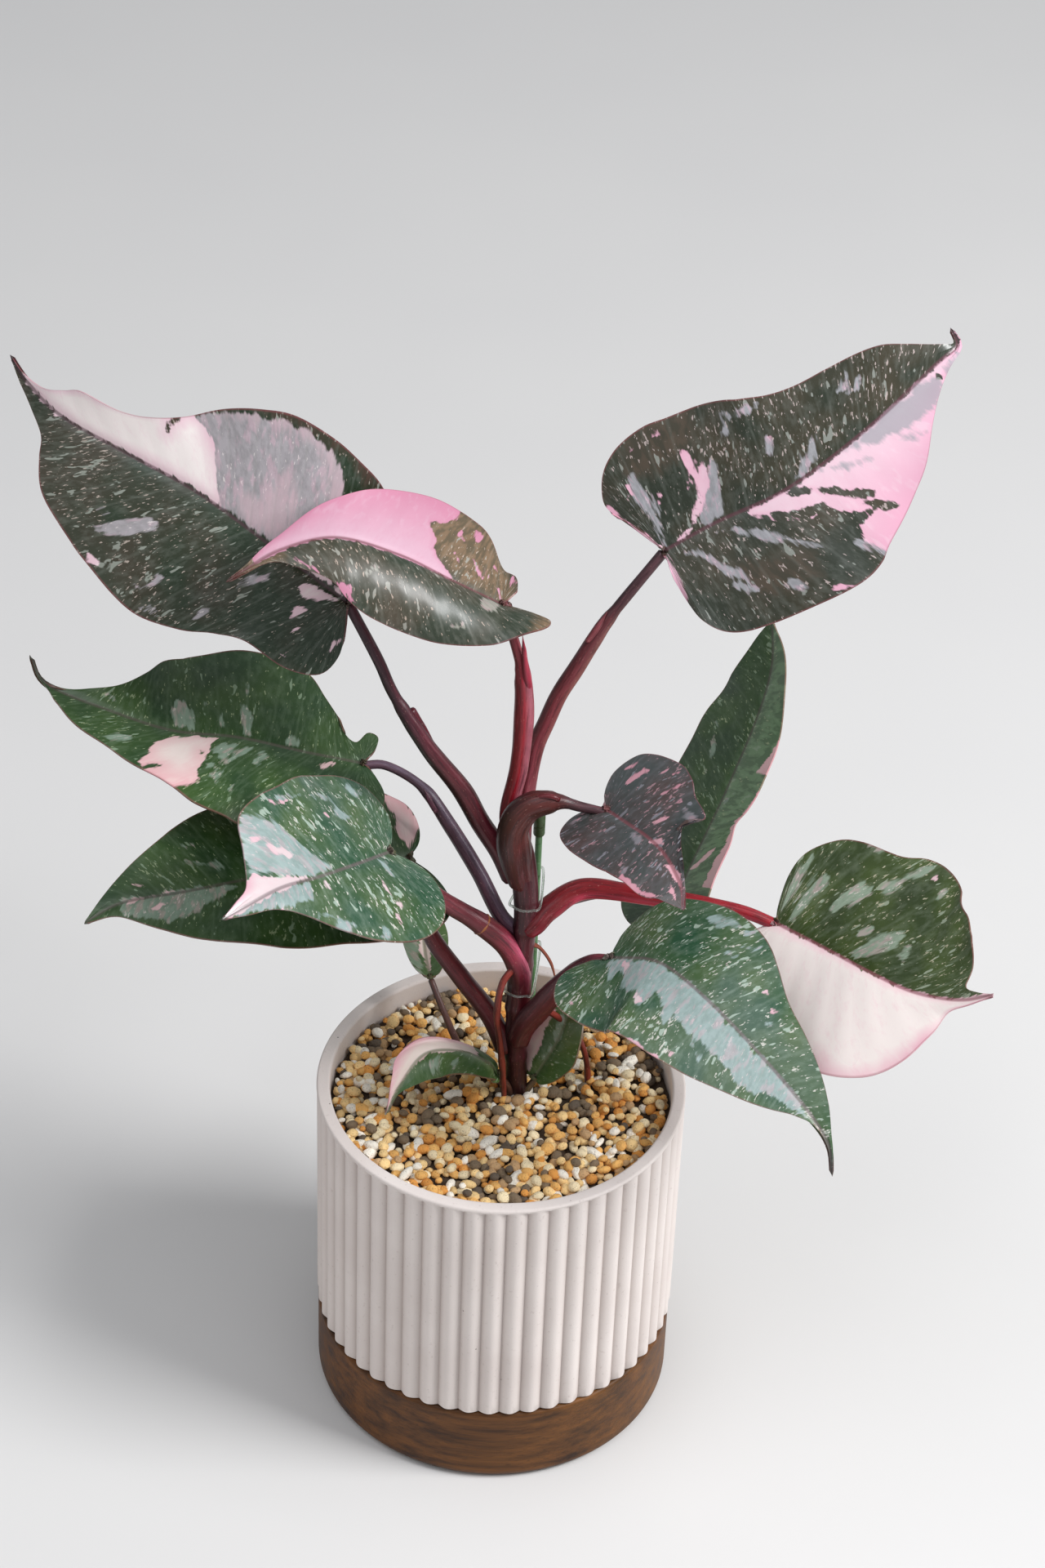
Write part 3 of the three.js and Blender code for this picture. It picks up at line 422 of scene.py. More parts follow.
            59, -16, 57, -12, 52, -8], [59, -18, 63, -20, 65, -17, 61, -17.5], [16, 9, 17, 17, 18.5, 12],
            [15, 18, 16, 22, 17.5, 19], [18, 21, 21, 27, 20.5, 21], [37, -29, 44, -30, 52, -31, 46, -28],
            [20, -20, 23, -21, 22, -19], [39.5, 1, 40, 6, 42, 7, 42, 2], [62, 8, 72, 6.5, 86, 1.5, 74, 5]],
        "mint": [[27, 26, 29, 30, 34, 28, 29, 25], [47, 1, 50, 7, 54, 8, 62, 7, 72, 5, 84, 2, 84, -0.5,
            60, -0.5], [40, 20, 45, 24, 48, 19, 44, 17], [46, 15, 53, 15, 50, 12], [7, 3, 10, 10, 11, 8,
            9, 2], [34, -1.5, 40, -10, 48, -17, 56, -26, 60, -29, 64, -25, 67, -17, 69, -9, 60, -4, 48, -1],
            [-7, -24, -4, -30, 0, -28, -3, -22], [8, -17, 12, -22, 17, -19, 13, -16], [0, -22, 3, -26,
            2, -22], [12, -26, 20, -30, 24, -28, 16, -26], [30, -30, 44, -32, 52, -31, 40, -29], [4, -6,
            6, -11, 7, -7]],
    },
    "leaf_small_centre": {
        "look": "purpleLeaf", "warmTone": "#171113",
        "rib": [33, 5, 264, 40, -6, 267, 47, -16, 269, 53, -26, 269, 58, -38, 266, 59, -45, 262],
        "face": [(-0.3, -0.3, 0.9), (-0.1, -0.6, 0.8)],
        "fold": (4, 4, 6, 6), "bend": (-0.3, -0.3, -0.3, -0.3),
        "left": [0, 0, -7, 4, -13, 13, -12, 23, -5, 27, 6, 28.5, 14, 28, 21, 25.5, 26, 21.5, 34, 18.5, 31, 12,
            36, 6.5, 44, 3.5, 52, 1, 59, 0],
        "right": [0, 0, -6, 3, -10, 10, -7, 17, 2, 20, 14, 20, 26, 19, 38, 17, 48, 14, 55, 8, 59, 0],
        "petiole": [5, 11, 223, 2, 9, 238, 1, 7, 253, 6, 7, 262.5, 16, 7, 265, 24, 6.5, 263.5],
        "radii": [0, 4.6, 0.3, 6, 0.5, 5.4, 0.62, 4.8, 0.7, 4.1, 0.76, 2.6, 0.8, 1.95, 1, 1.4],
        "pink": [[-4, 12, -3, 20, 0, 21, -1, 14, -2, 11], [15, 15, 17, 18, 18, 15.5], [40, -2, 46, -1.5,
            52, 0.3, 46, 1, 41, 0.5], [49, -3, 52, -4.8, 56, -2.5, 53, -2.3], [-7, -6, -6, -11, -5, -9],
            [21, 4, 24, 9, 26, 10, 23, 5], [27, -1, 30, 3, 33, 2, 30, -0.5], [21.5, 14, 23.5, 17.5, 24.5, 17,
            23, 14.5], [17, 18.5, 18.5, 21.5, 19.5, 21, 18.5, 19], [5, 21, 6.5, 25, 7.5, 24.5, 6.5, 21.5],
            [11, 23.5, 12.5, 26.5, 13.3, 26, 12.3, 23.8], [-10, 16, -9, 22, -8, 18], [34, -16, 44, -14,
            52, -9, 54, -9, 46, -16, 36, -19]],
        "mint": [[18, -2, 21, -4, 24, -3.5, 20, -1.5], [-8, -8, -7, -13, -5, -11], [28, 16, 33, 19, 33, 14,
            29, 12], [26, -14, 34, -15, 32, -13]],
        "warm": [[30, 15, 29.5, 8.5, 33, 3.5, 38, 2, 46, 1.2, 48, 6, 38, 14, 32, 19]],
    },
    "leaf_back_right": {
        "look": "deepLeaf", "warmTone": "#688760",
        "rib": [59, 35, 196, 64, 43, 205, 72, 54, 220, 78, 64, 230, 88, 83, 248, 93, 99, 260, 93, 114.6, 269],
        "face": [(-0.8, -0.3, 0.5), (-0.75, -0.3, 0.55)],
        "fold": (6, 6, 6, 6), "bend": (-0.3, -0.3, -0.3, -0.3),
        "left": [0, 0, -6, 6, -11, 16, -6, 27, 5, 33, 20, 35, 36, 34, 52, 32.3, 66, 30.2, 80, 28, 92, 23.5,
            102, 17.5, 110, 9, 116, 0],
        "right": [0, 0, -5, 6, -8, 13, -3, 19, 8, 19.5, 18, 18.5, 29, 16, 36, 15, 42, 18.5, 52, 20.3, 63, 19,
            77, 15, 90, 11, 103, 6, 116, 0],
        "petiole": [8, 11, 203, 13, 18, 207, 21, 24, 208, 38, 32, 206, 50, 35, 200],
        "radii": [0, 3.6, 0.5, 2.8, 1, 1.9],
        "pink": [[12, -14, 24, -13, 36, -14, 42, -18, 52, -20, 56, -23, 40, -23, 36, -18, 24, -21, 12, -23],
            [16, -1, 22, -6, 28, -10, 22, -8, 17, -3], [56, -14, 62, -17, 72, -17, 82, -16, 66, -22,
            56, -23]],
        "mint": [[50, 14, 62, 17, 72, 20, 62, 15], [40, -2, 46, -6, 44, -2]],
        "warm": [[4, -0.5, 10, -24, 60, -24, 100, -10, 116, -0.5]],
    },
    "leaf_front_right": {
        "look": "fleckedLeaf",
        "rib": [37, -17, 216, 53, -27, 223, 70, -44, 221, 88, -62, 213, 103, -77, 204, 111, -86, 196,
            113, -93, 187],
        "face": [(-0.25, -0.25, 0.93), (-0.1, -0.45, 0.85)],
        "fold": (4, 4, 6, 6), "bend": (-0.35, -0.35, -0.35, -0.35),
        "left": [0, 0, -1, 4, 0, 10, 4, 16, 10, 22, 17, 28, 25, 31, 36, 31, 44, 29.5, 52, 25.5, 63, 20,
            76, 16, 88, 11.8, 98, 7.2, 108, 2, 120, 0],
        "right": [0, 0, -8, 2.5, -15, 8, -16.5, 15, -12, 23, -2, 28, 9, 31, 23, 31.7, 34, 29.8, 46, 28,
            58, 24.7, 69, 20, 80, 15, 88, 10, 95, 4.5, 103, 1, 120, 0],
        "petiole": [5, 6, 154, 8, 2, 167, 14, -2, 180, 22, -7, 197, 30, -13, 210],
        "radii": [0, 4.4, 0.4, 4.3, 0.7, 3.2, 1, 2.2],
        "pink": [[53, 15, 55, 17, 58, 17], [60, 13, 62, 14.5, 62, 13], [66, 15.5, 69, 16.5, 70, 15.5],
            [28, -30.5, 38, -28.7, 48, -27, 50, -28, 38, -31], [20, -15, 25, -18.5, 27, -16, 22, -14], [6, -2,
            9, -8, 10, -3], [-2, -24, -8, -20, -6, -22], [38, 13, 40, 15, 40, 13], [48, -23, 51, -24,
            51, -22]],
        "mint": [[0, -1, 2, -8, 4, -10, 5, -5, 9, -8, 11, -14, 16, -16, 20, -14, 24, -18, 26, -18, 29, -13,
            28, -9.5, 33, -12, 38, -17, 41, -18.5, 40, -12, 46, -13, 54, -13, 62, -12, 72, -13, 78, -12,
            82, -7, 92, -4.5, 99, -1.5, 80, -0.3, 30, -0.3], [53, -15, 57, -18, 60, -17.5, 56, -15], [31, -21,
            34, -25, 33, -21], [36, 17, 40, 20, 39, 17], [24, 24, 28, 30, 30, 28, 27, 23], [37, 22, 42, 26,
            40, 22], [60, 8, 66, 10, 63, 8], [32, 27, 40, 30, 36, 27]],
    },
    "leaf_half_pink": {
        "look": "creamLeaf",
        "rib": [95, 5, 216, 111, -11, 219, 126, -28, 223, 138, -39.5, 225.5, 148, -46.5, 228.5,
            156.3, -51, 232, 164.6, -54, 237],
        "face": [(-0.3, -0.45, 0.82), (-0.2, -0.5, 0.82)],
        "fold": (4, 4, 6, 6), "bend": (-0.3, -0.3, -0.3, -0.3),
        "left": [0, 0, -4, 7, -7, 18, -6, 28, 1, 37, 10, 40.7, 25, 42.6, 34, 47, 46, 46.3, 60, 41, 71, 34.5,
            80, 28, 87, 20, 88, 12, 85, 5, 90, 2, 97, 0],
        "right": [0, 0, -6, 6, -9, 16, -4, 26, 8, 33, 22, 37, 37, 40, 52, 40, 63, 35, 71, 25, 77, 13, 80, 5,
            87, 2, 97, 0],
        "petiole": [6.5, 6, 204.5, 10.5, 8.5, 208.8, 15.3, 13, 212.6, 27, 18, 217.4, 48, 15, 218, 80, 9, 218],
        "radii": [0, 2.4, 0.06, 3.8, 0.14, 4.4, 0.24, 4.1, 0.45, 3.4, 1, 2.2],
        "pink": [[-3, -0.3, -12, -8, -12, -20, -6, -30, 8, -38, 40, -44, 60, -44, 74, -34, 82, -16, 84, -5,
            98, -2, 98, 1, 82, 1, 79, 0.4, 40, -0.3], [42, 40, 44, 42.5, 47, 41.5, 45, 39.5], [40, 30, 41, 35,
            42, 31]],
        "mint": [[2, 10, 3, 20, 6, 25, 9, 22, 8, 12, 5, 4], [-5, 22, -3, 27, 0, 15, -1, 5, -2, 8], [15, 13,
            17, 21, 20, 27, 24, 29, 26, 24, 22, 19, 18, 13], [27, 31, 31, 37, 34, 43, 38, 45.5, 40, 44,
            35, 36, 32, 28, 30, 26], [31, 10, 34, 15, 38, 13, 36, 9], [34, 3, 38, 10, 44, 16, 48, 20, 50, 19,
            49, 12, 42, 5, 38, 2.5], [53, 9, 54, 14, 56, 12, 55, 9], [52, 34, 51, 38, 53, 39], [11, 7, 13, 12,
            12, 7], [10, 40, 16, 41.5, 24, 41.5, 16, 40]],
    },
    "leaf_soil_left": {
        "look": "youngLeaf",
        "rib": [-1, 3, 141, -5, 3, 147, -16, -2, 156, -28, -8, 159, -36, -17, 152, -41, -25, 144],
        "face": [(0.1, 0.05, 1), (0.45, -0.35, 0.8)], "fold": (4, 4, 4, 4), "bend": (-0.3, -0.3, -0.3, -0.3),
        "left": [0, 0, 0, 5, 4, 9, 14, 11.8, 24, 12.2, 33, 11.5, 40, 9.8, 46, 6, 54, 1, 63, 0],
        "right": [0, 0, 2, 2.5, 10, 4, 20, 4.5, 30, 5, 38, 6, 44, 6.5, 50, 4.2, 57, 1.5, 63, 0],
        "petiole": [5, 6, 122, 3, 4, 133],
        "radii": [0, 2.6, 1, 1.7],
        "pink": [[12, -0.3, 30, 0.8, 40, 0.8, 52, -0.3, 63, 0.3, 63, -2, 46, -8, 30, -8, 14, -7]],
        "mint": [[32, 3, 34, 6, 38, 8, 40, 7, 37, 3], [14, 4, 17, 9, 18, 8], [24, 5, 28, 9, 27, 5]],
    },
    "leaf_soil_right": {
        "look": "youngLeaf",
        "rib": [12, 5, 138, 16, 6, 146, 20, 8, 154, 23, 10, 163, 27, 15, 172],
        "face": [(-0.6, -0.5, 0.6), (-0.5, -0.5, 0.6)],
        "fold": (20, 20, 20, 20), "bend": (-0.3, -0.3, -0.3, -0.3),
        "left": [0, 0, -1, 4, 5, 8, 14, 10, 24, 9, 32, 5, 39, 0],
        "right": [0, 0, 1, 5, 8, 11, 17, 15, 26, 14, 33, 8, 39, 0],
        "petiole": [6, 6, 124, 9, 5, 131],
        "radii": [0, 2, 1, 1.2],
        "pink": [[1, 3, 10, 4.5, 20, 5.5, 29, 4.5, 30, 13, 14, 14, 1, 9]],
        "mint": [[8, 1, 20, 3, 30, 2, 20, -1]],
    },
    "leaf_back_left": {
        "look": "youngLeaf",
        "rib": [-28, 38, 156, -30, 43, 163, -32, 52, 171, -35, 64, 176],
        "face": [(0, -0.75, 0.6), (0, -0.75, 0.6)], "fold": (8, 8, 8, 8), "bend": (-0.3, -0.3, -0.3, -0.3),
        "left": [0, 0, 3, 4, 10, 7, 18, 8, 26, 6, 34, 0],
        "right": [0, 0, 1, 4, 8, 8, 16, 9, 25, 6, 34, 0],
        "petiole": [-16, 26, 95, -16, 26, 128, -20, 29, 140, -24, 33, 148],
        "radii": [0, 1.8, 1, 1.2],
        "pink": [[2, -0.5, 10, 2, 18, 1.5, 20, -1, 12, -3]],
        "mint": [[0, 3, 12, 9, 26, 8, 34, 0, 20, 3, 8, 2]],
    },
}
markings = ("pink", "mint", "bare", "warm", "smoke", "wash")
for leaf in leaves.values():  # three numbers to a point in the air, two to one on the blade
    for part, size in (("rib", 3), ("petiole", 3), ("left", 2), ("right", 2), ("radii", 2)):
        leaf[part] = np.reshape(leaf[part], (-1, size)).astype(float)
    for marking in markings:
        leaf[marking] = [np.reshape(outline, (-1, 2)).astype(float) for outline in leaf.get(marking, [])]

blade = {
    "columns": 44,
    "rows": 110,
    "smallColumns": 28,
    "smallRows": 56,
    "crowding": 1.25,  # of the columns towards the rib
    "lobeShare": 0.28,  # of the outline that belongs to the rib's start
    "veinSweep": 1.15,
    "leastHalfWidth": 0.3,
    "ribThickness": 1.5,
    "ribThinning": 0.75,
    "rimThickness": 0.6,
    "edgeWave": 0.7,  # mm up and down along the margin
    "waves": ((1, 5.5), (0.6, 2.9)),  # share of it, run in mm
    "waveInset": 6,
    "crease": 0.06,  # mm, between the side veins
    "ribGroove": 0.35,
    "ribReach": (1.6, 1.4),  # of the groove above and of the rib's thickness
    "veinSpacing": 6.5,
    "smoothAngle": 60,
    "smallLeaves": ("leaf_soil_left", "leaf_soil_right", "leaf_back_left"),
    "smokeColour": "#8e9298",
    "washColour": "#bfa7ae",
    "rimColour": "#8f4a52",
    "undersideColour": "#6d4a42",
}


# The frame of the rib at places along it, which may lie behind its start or past its end.
def ribFrame(leaf, along):
    share = np.clip(along / leaf["length"], 0, 1)
    origin = leaf["curve"](share)
    step = 0.002  # of the rib's length
    ahead = unit(leaf["curve"](np.minimum(share + step, 1)) - leaf["curve"](np.maximum(share - step, 0)))
    faces = np.asarray(leaf["face"], dtype=float)
    face = unit(faces[0] + (faces[1] - faces[0]) * share[..., None])
    side = unit(np.cross(face, ahead))
    up = np.cross(ahead, side)
    past = along - share * leaf["length"]
    origin = origin + ahead * np.maximum(past, 0)[..., None]
    behind = np.maximum(-past, 0)[..., None]
    tilt = math.radians(leaf.get("lobeTilt", 0))
    origin = origin - ahead * behind * math.cos(tilt) + up * behind * math.sin(tilt)
    return origin, side, up, share


# Points of half a blade: away from the rib it starts at its fold and goes on at its bend, and the lift is
# across its surface.
def bladePoints(leaf, half, along, away, lift):
    origin, side, up, share = ribFrame(leaf, along)
    hand, first = (1, 0) if half == "left" else (-1, 2)
    folds, bends = leaf["fold"][first:first + 2], leaf["bend"][first:first + 2]
    start = np.radians(folds[0] + (folds[1] - folds[0]) * share)
    bend = np.radians(bends[0] + (bends[1] - bends[0]) * share)
    bend = np.where(np.abs(bend) < 1e-5, 1e-5, bend)
    end = start + bend * away
    out = (np.sin(end) - np.sin(start)) / bend
    rise = (np.cos(start) - np.cos(end)) / bend
    lean = np.where(away > 0, end, 0)
    return (origin + side * (hand * (out - lift * np.sin(lean)))[..., None]
            + up * (rise + lift * np.cos(lean))[..., None])


# Signed distance from an outline's edge in mm, positive inside, the nearest of several outlines.
def inkDistance(outlines, places, farthest=8.0):
    nearest = np.full(len(places), -farthest)
    for corners in outlines:
        gap = np.full(len(places), np.inf)
        inside = np.zeros(len(places), dtype=bool)
        for start, end in zip(corners, np.roll(corners, -1, axis=0)):
            span = end - start
            t = np.clip(((places - start) @ span) / max(span @ span, 1e-9), 0, 1)
            gap = np.minimum(gap, np.linalg.norm(places - start - t[:, None] * span, axis=1))
            crosses = (start[1] > places[:, 1]) != (end[1] > places[:, 1])
            rise = span[1] if abs(span[1]) > 1e-9 else 1e-9
            inside ^= crosses & (places[:, 0] < start[0] + (places[:, 1] - start[1]) * span[0] / rise)
        nearest = np.maximum(nearest, np.where(inside, gap, -gap))
    return np.clip(nearest, -farthest, farthest)


def makeLeaf(name, leaf, seed):
    size = ("smallColumns", "smallRows") if name in blade["smallLeaves"] else ("columns", "rows")
    leaf["length"], leaf["curve"] = evenCurve(leaf["rib"])
    piece = addGrid(name + "_blade", *(blade[count] for count in size))
    grid = points(piece.data)
    run = grid[:, 1] + 0.5
    ends = (run < 1e-6) | (run > 1 - 1e-6)
    across = np.where(ends, 0, np.abs(2 * grid[:, 0]) ** blade["crowding"])
    rng = random.Random(seed)
    phases = [rng.uniform(0, 6.28) for i in range(4)]
    places, flat, reach = np.zeros((len(grid), 3)), np.zeros((len(grid), 2)), np.zeros(len(grid))
    for half, sign, here in (("right", -1, grid[:, 0] > 0), ("left", 1, grid[:, 0] <= 0)):
        t, out = run[here], across[here]
        margin = catmullRom(leaf[half], t)
        spine = leaf["length"] * np.maximum(0, (t - blade["lobeShare"])
                                            / (1 - blade["lobeShare"])) ** blade["veinSweep"]
        along = spine + (margin[:, 0] - spine) * out
        away = np.maximum(margin[:, 1], blade["leastHalfWidth"]) * out
        wave = sum(most * np.sin(t * leaf["length"] / length + phase)
                   for (most, length), phase in zip(blade["waves"], phases))
        crease = leaf.get("crease", blade["crease"]) * np.sin(
            2 * np.pi * t * leaf["length"] / blade["veinSpacing"] + phases[2])
        fade = np.clip(away / blade["waveInset"], 0, 1)
        edge = np.sin(np.pi * t) ** 0.5
        lift = blade["edgeWave"] * wave * out ** 3 * fade * edge
        lift = lift + crease * fade * np.sin(np.pi * np.clip(out, 0, 1)) * edge
        lift = lift - blade["ribGroove"] * np.exp(-(away / blade["ribReach"][0]) ** 2) * (out < 0.5)
        places[here] = bladePoints(leaf, half, along, away, lift)
        flat[here] = np.column_stack([along, sign * away])
        reach[here] = sign * out * np.hypot(margin[:, 0] - spine, margin[:, 1])
    setPoints(piece.data, places * mm)
    setMarks(piece.data, "leafPlace", np.column_stack([run * leaf["length"], reach, across]))
    ink = {marking: inkDistance(leaf[marking], flat) for marking in markings}
    pink = np.minimum(ink["pink"], -ink["bare"])
    setMarks(piece.data, "leafInk", np.column_stack([pink, ink["mint"], ink["warm"]]))
    setMarks(piece.data, "leafFlat", np.column_stack([flat, ink["smoke"]]))
    setMarks(piece.data, "leafWash", np.column_stack([ink["wash"]] * 3))
    rib = piece.vertex_groups.new(name="rib")
    weights = np.exp(-(np.abs(flat[:, 1]) / blade["ribReach"][1]) ** 2) * (1 - blade["ribThinning"] * run)
    for index, weight in enumerate(weights):
        rib.add([index], float(min(weight, 1)), "REPLACE")
    mergeDoubles(piece)
    for material in leafMaterials(name, leaf, seed):
        piece.data.materials.append(material)
    shell = piece.modifiers.new("blade", "SOLIDIFY")
    shell.thickness = blade["ribThickness"] * mm
    shell.offset = -1
    shell.use_even_offset = False
    shell.vertex_group = "rib"
    shell.thickness_vertex_group = blade["rimThickness"] / blade["ribThickness"]
    shell.material_offset = 1
    shell.use_rim = True
    bpy.ops.object.modifier_apply(modifier="blade")
    finishPiece(piece, None, blade["smoothAngle"], "leaf_blade", name)


# Waxy leaf, grown with patches that lack green: the colour is in the leaf under a clear cuticle, so
# edges are sharp and torn along the veins, and the light catches a soft sheen.
lookParts = ("green", "brown", "stroke", "dust", "pink", "cream", "mint", "rib", "blush", "rimBlush",
             "flecks", "rough")
leafLooks = {
    "smokyLeaf": ("#20301e", "#353123", "#8e948a", "#b5a79c", "#dfb0c2", "#efe6e3", "#a39ea2", "#4a3038",
                  (0.9, 1.3), 5, 0.0, 0.3),
    "foldedLeaf": ("#2b3426", "#463e30", "#96958c", "#b5a294", "#be7c95", "#c6a3b2", "#95948a", "#6a3a40",
                   (-0.1, 0.95), 2, 0.0, 0.42),
    "oliveLeaf": ("#272e22", "#3e3829", "#8b8f88", "#b9aaa6", "#dda3ba", "#e4cbd4", "#9d9da2", "#5c3540",
                  (-0.3, 1.1), 1, 0.005, 0.32),
    "deepLeaf": ("#1e3c19", "#304d1a", "#7f9478", "#92a07a", "#d9a3a8", "#e2d3cc", "#7f9380", "#4f4a40",
                 (0.6, 1.1), 5, -0.02, 0.36),
    "fleckedLeaf": ("#2c4e38", "#455c36", "#9fb0a2", "#cbc9c0", "#cf9dab", "#cdbcbe", "#91a3a1", "#66585a",
                    (0.6, 1.1), 1, 0.008, 0.28),
    "creamLeaf": ("#2f3f1c", "#435424", "#98a48e", "#b9b49a", "#e4a6b8", "#f1e6e1", "#8fa08c", "#8c4a58",
                  (0.82, 1.1), 3.5, 0.0, 0.3),
    "youngLeaf": ("#3a5a2c", "#506a33", "#8b9d80", "#a4ae8c", "#dca5ae", "#e6d5cb", "#869a84", "#6f7458",
                  (0.5, 1.0), 1, -0.02, 0.38),
    # The small centre leaf's blue-grey green and brown are partly painted reflection, bluer and lighter than
    # its own colour.
    "purpleLeaf": ("#3e4544", "#4d4240", "#82828a", "#ac868e", "#c48a98", "#cf9fa8", "#7f7c82", "#7a4048",
                   (0.0, 1.0), 0.5, 0.01, 0.22),
}
# Strokes run along the side veins, several times as long as wide.
veinNoises = {  # squeeze across, scale, detail, roughness, distortion
    "jag": (0.16, 0.45, 3, 0.62, 0),
    "fine": (0.3, 0.8, 3, 0.6, 0),
    "strokes": (0.24, 0.62, 2, 0.55, 0.3),
    "dust": (0.22, 1.5, 2, 0.65, 0),
}


def leafMaterials(name, leaf, seed):
    look = dict(zip(lookParts, leafLooks[leaf["look"]]))
    made = []
    for face in ("upper", "lower"):
        material, tree, shader = newMaterial("waxy leaf " + face + " " + name.replace("_", " "))
        shift = (seed * 3.7, seed * 1.9, seed * 0.7)
        place, flat, inks = (addNode(tree, "Attribute", attribute_name=mark).outputs["Vector"]
                             for mark in ("leafPlace", "leafFlat", "leafInk"))
        ink = addNode(tree, "SeparateXYZ", {0: inks}).outputs
        parts = addNode(tree, "SeparateXYZ", {0: place}).outputs
        flatParts = addNode(tree, "SeparateXYZ", {0: flat}).outputs
        jag, fine, strokes, dust = (addNode(tree, "TexNoise", {
            "Vector": addNode(tree, "VectorMath", {
                0: addNode(tree, "VectorMath", {0: place, 1: (1, squeeze, 0)}, operation="MULTIPLY"),
                1: shift}, operation="ADD"),
            "Scale": scale, "Detail": detail, "Roughness": roughness, "Distortion": distortion})
            for squeeze, scale, detail, roughness, distortion in veinNoises.values())
        cloud = addNode(tree, "TexNoise", {
            "Vector": addNode(tree, "VectorMath", {0: flat, 1: shift}, operation="ADD"),
            "Scale": 0.05, "Detail": 2.0})

        # Where a marking lies: its signed distance, pushed about by the noise.
        def within(distance, spread, edge):
            pushed = addNode(tree, "Math", {
                0: addNode(tree, "Math", {0: jag, 1: 0.5}, operation="SUBTRACT"),
                1: spread, 2: distance}, operation="MULTIPLY_ADD")
            return addNode(tree, "MapRange", {"Value": pushed, "From Min": -edge, "From Max": edge})

        # A value raised where the cloud noise is high, so that flecks gather there.
        def clouded(value, share):
            return addNode(tree, "Math", {0: cloud, 1: share, 2: value}, operation="MULTIPLY_ADD")

        few = 0.755 - look["flecks"]
        body = paintOver(tree, look["green"], (look["brown"], cloud, 0.4, 0.66),
                         (look["stroke"], fine, 0.45, 0.75, 0.2))
        if leaf["warm"]:
            warm = leaf.get("warmTone", look["brown"])
            warm = paintOver(tree, paintOver(tree, warm, (look["green"], 0.5)), (warm, strokes, 0.42, 0.56))
            body = paintOver(tree, body, (warm, within(ink["Z"], 9.0, 2.5)))
        body = paintOver(tree, body, (look["stroke"], clouded(strokes, 0.22), few, few + 0.03, 0.85),
                         (look["dust"], clouded(dust, 0.22), few - 0.005, few + 0.03, 0.8))
        pale = paintOver(tree, look["mint"], (look["green"], 0.22))
        pale = paintOver(tree, look["mint"], (pale, fine, 0.4, 0.62),
                         (look["cream"], clouded(dust, 0.22), 0.75, 0.79, 0.5),
                         (look["pink"], strokes, 0.52, 0.62, 0.25))
        if leaf["wash"]:
            wash = within(addNode(tree, "Attribute", attribute_name="leafWash").outputs["Fac"], 16.0, 2.0)
            pale = paintOver(tree, pale, (blade["washColour"], wash, 0, 1, 0.7))
        body = paintOver(tree, body, (pale, within(ink["Y"], 8.0, 0.5)))
        # Pink deepens towards the margin and towards the edge of its patch.
        start, end = look["blush"]
        blush = paintOver(tree, look["cream"],
                          (look["pink"], clouded(parts["Z"], 0.5), start + 0.25, end + 0.25),
                          (look["pink"], clouded(ink["X"], 5.0), 2.5 + look["rimBlush"], 1.5, 0.75),
                          (look["pink"], fine, 0.5, 0.75, 0.2), (look["cream"], strokes, 0.55, 0.7, 0.35))
        if leaf["smoke"]:
            smoked = paintOver(tree, blush, (blade["smokeColour"], 0.75))
            blush = paintOver(tree, blush, (smoked, within(flatParts["Z"], 9.0, 1.0)))
        pinkMask = within(ink["X"], 5.0, 0.25)
        body = paintOver(tree, body, (blush, pinkMask))
        besideRib = addNode(tree, "Math", {0: flatParts["Y"]}, operation="ABSOLUTE")
        body = paintOver(tree, body, (paintOver(tree, body, (look["rib"], 0.7)), besideRib, 0.85, 0.3),
                         (blade["rimColour"], parts["Z"], 0.982, 0.995, 0.45))
        # Side veins: faint lines sunk a little, which hardly show where the leaf is pink or cream.
        vein = addNode(tree, "Math", {0: parts["X"], 1: blade["veinSpacing"] / 2}, operation="PINGPONG")
        body = paintOver(tree, body, (look["stroke"], addNode(tree, "Math", {
            0: addNode(tree, "MapRange", {"Value": vein, "From Min": 0.5, "From Max": 0.1, "To Max": 0.1}),
            1: addNode(tree, "Math", {0: 1.0, 1: pinkMask}, operation="SUBTRACT")}, operation="MULTIPLY")))
        if face == "lower":
            body = paintOver(tree, body, (blade["undersideColour"], 0.35))
        sunk = addNode(tree, "Math", {
            0: addNode(tree, "MapRange", {"Value": vein, "From Max": 0.6}),
            1: addNode(tree, "MapRange", {"Value": pinkMask, "To Min": 1.0, "To Max": 0.2})},
            operation="MULTIPLY")
        grain = addNode(tree, "TexNoise", {"Vector": flat, "Scale": 2.4, "Detail": 2.0})
        feed(tree, shader, {
            "Base Color": body,
            "Normal": addNode(tree, "Bump", {"Strength": 0.16, "Distance": 0.0002, "Height": addNode(
                tree, "Math", {0: grain, 1: 0.25, 2: sunk}, operation="MULTIPLY_ADD")}),
            "Roughness": addNode(tree, "MapRange", {
                "Value": cloud, "From Min": 0.3, "From Max": 0.7, "To Min": look["rough"] - 0.04,
                "To Max": look["rough"] + (0.06 if face == "upper" else 0.2)}),
            "Coat Weight": 0.2 if face == "upper" else 0.0,
            "Coat Roughness": 0.22})
        made.append(material)
    return made


for seed, (leafName, leaf) in enumerate(leaves.items(), start=1):
    makeLeaf(leafName, leaf, seed)
print("leaves")


# Stalks

# The points of a tube: each at its angle on its ring, which has a side and an upper direction.
def aroundPath(path, side, over, ring, angle, radius, flat=1.0):
    return (path[ring] + side[ring] * (radius * np.cos(angle))[:, None]
            + over[ring] * (radius * flat * np.sin(angle))[:, None])


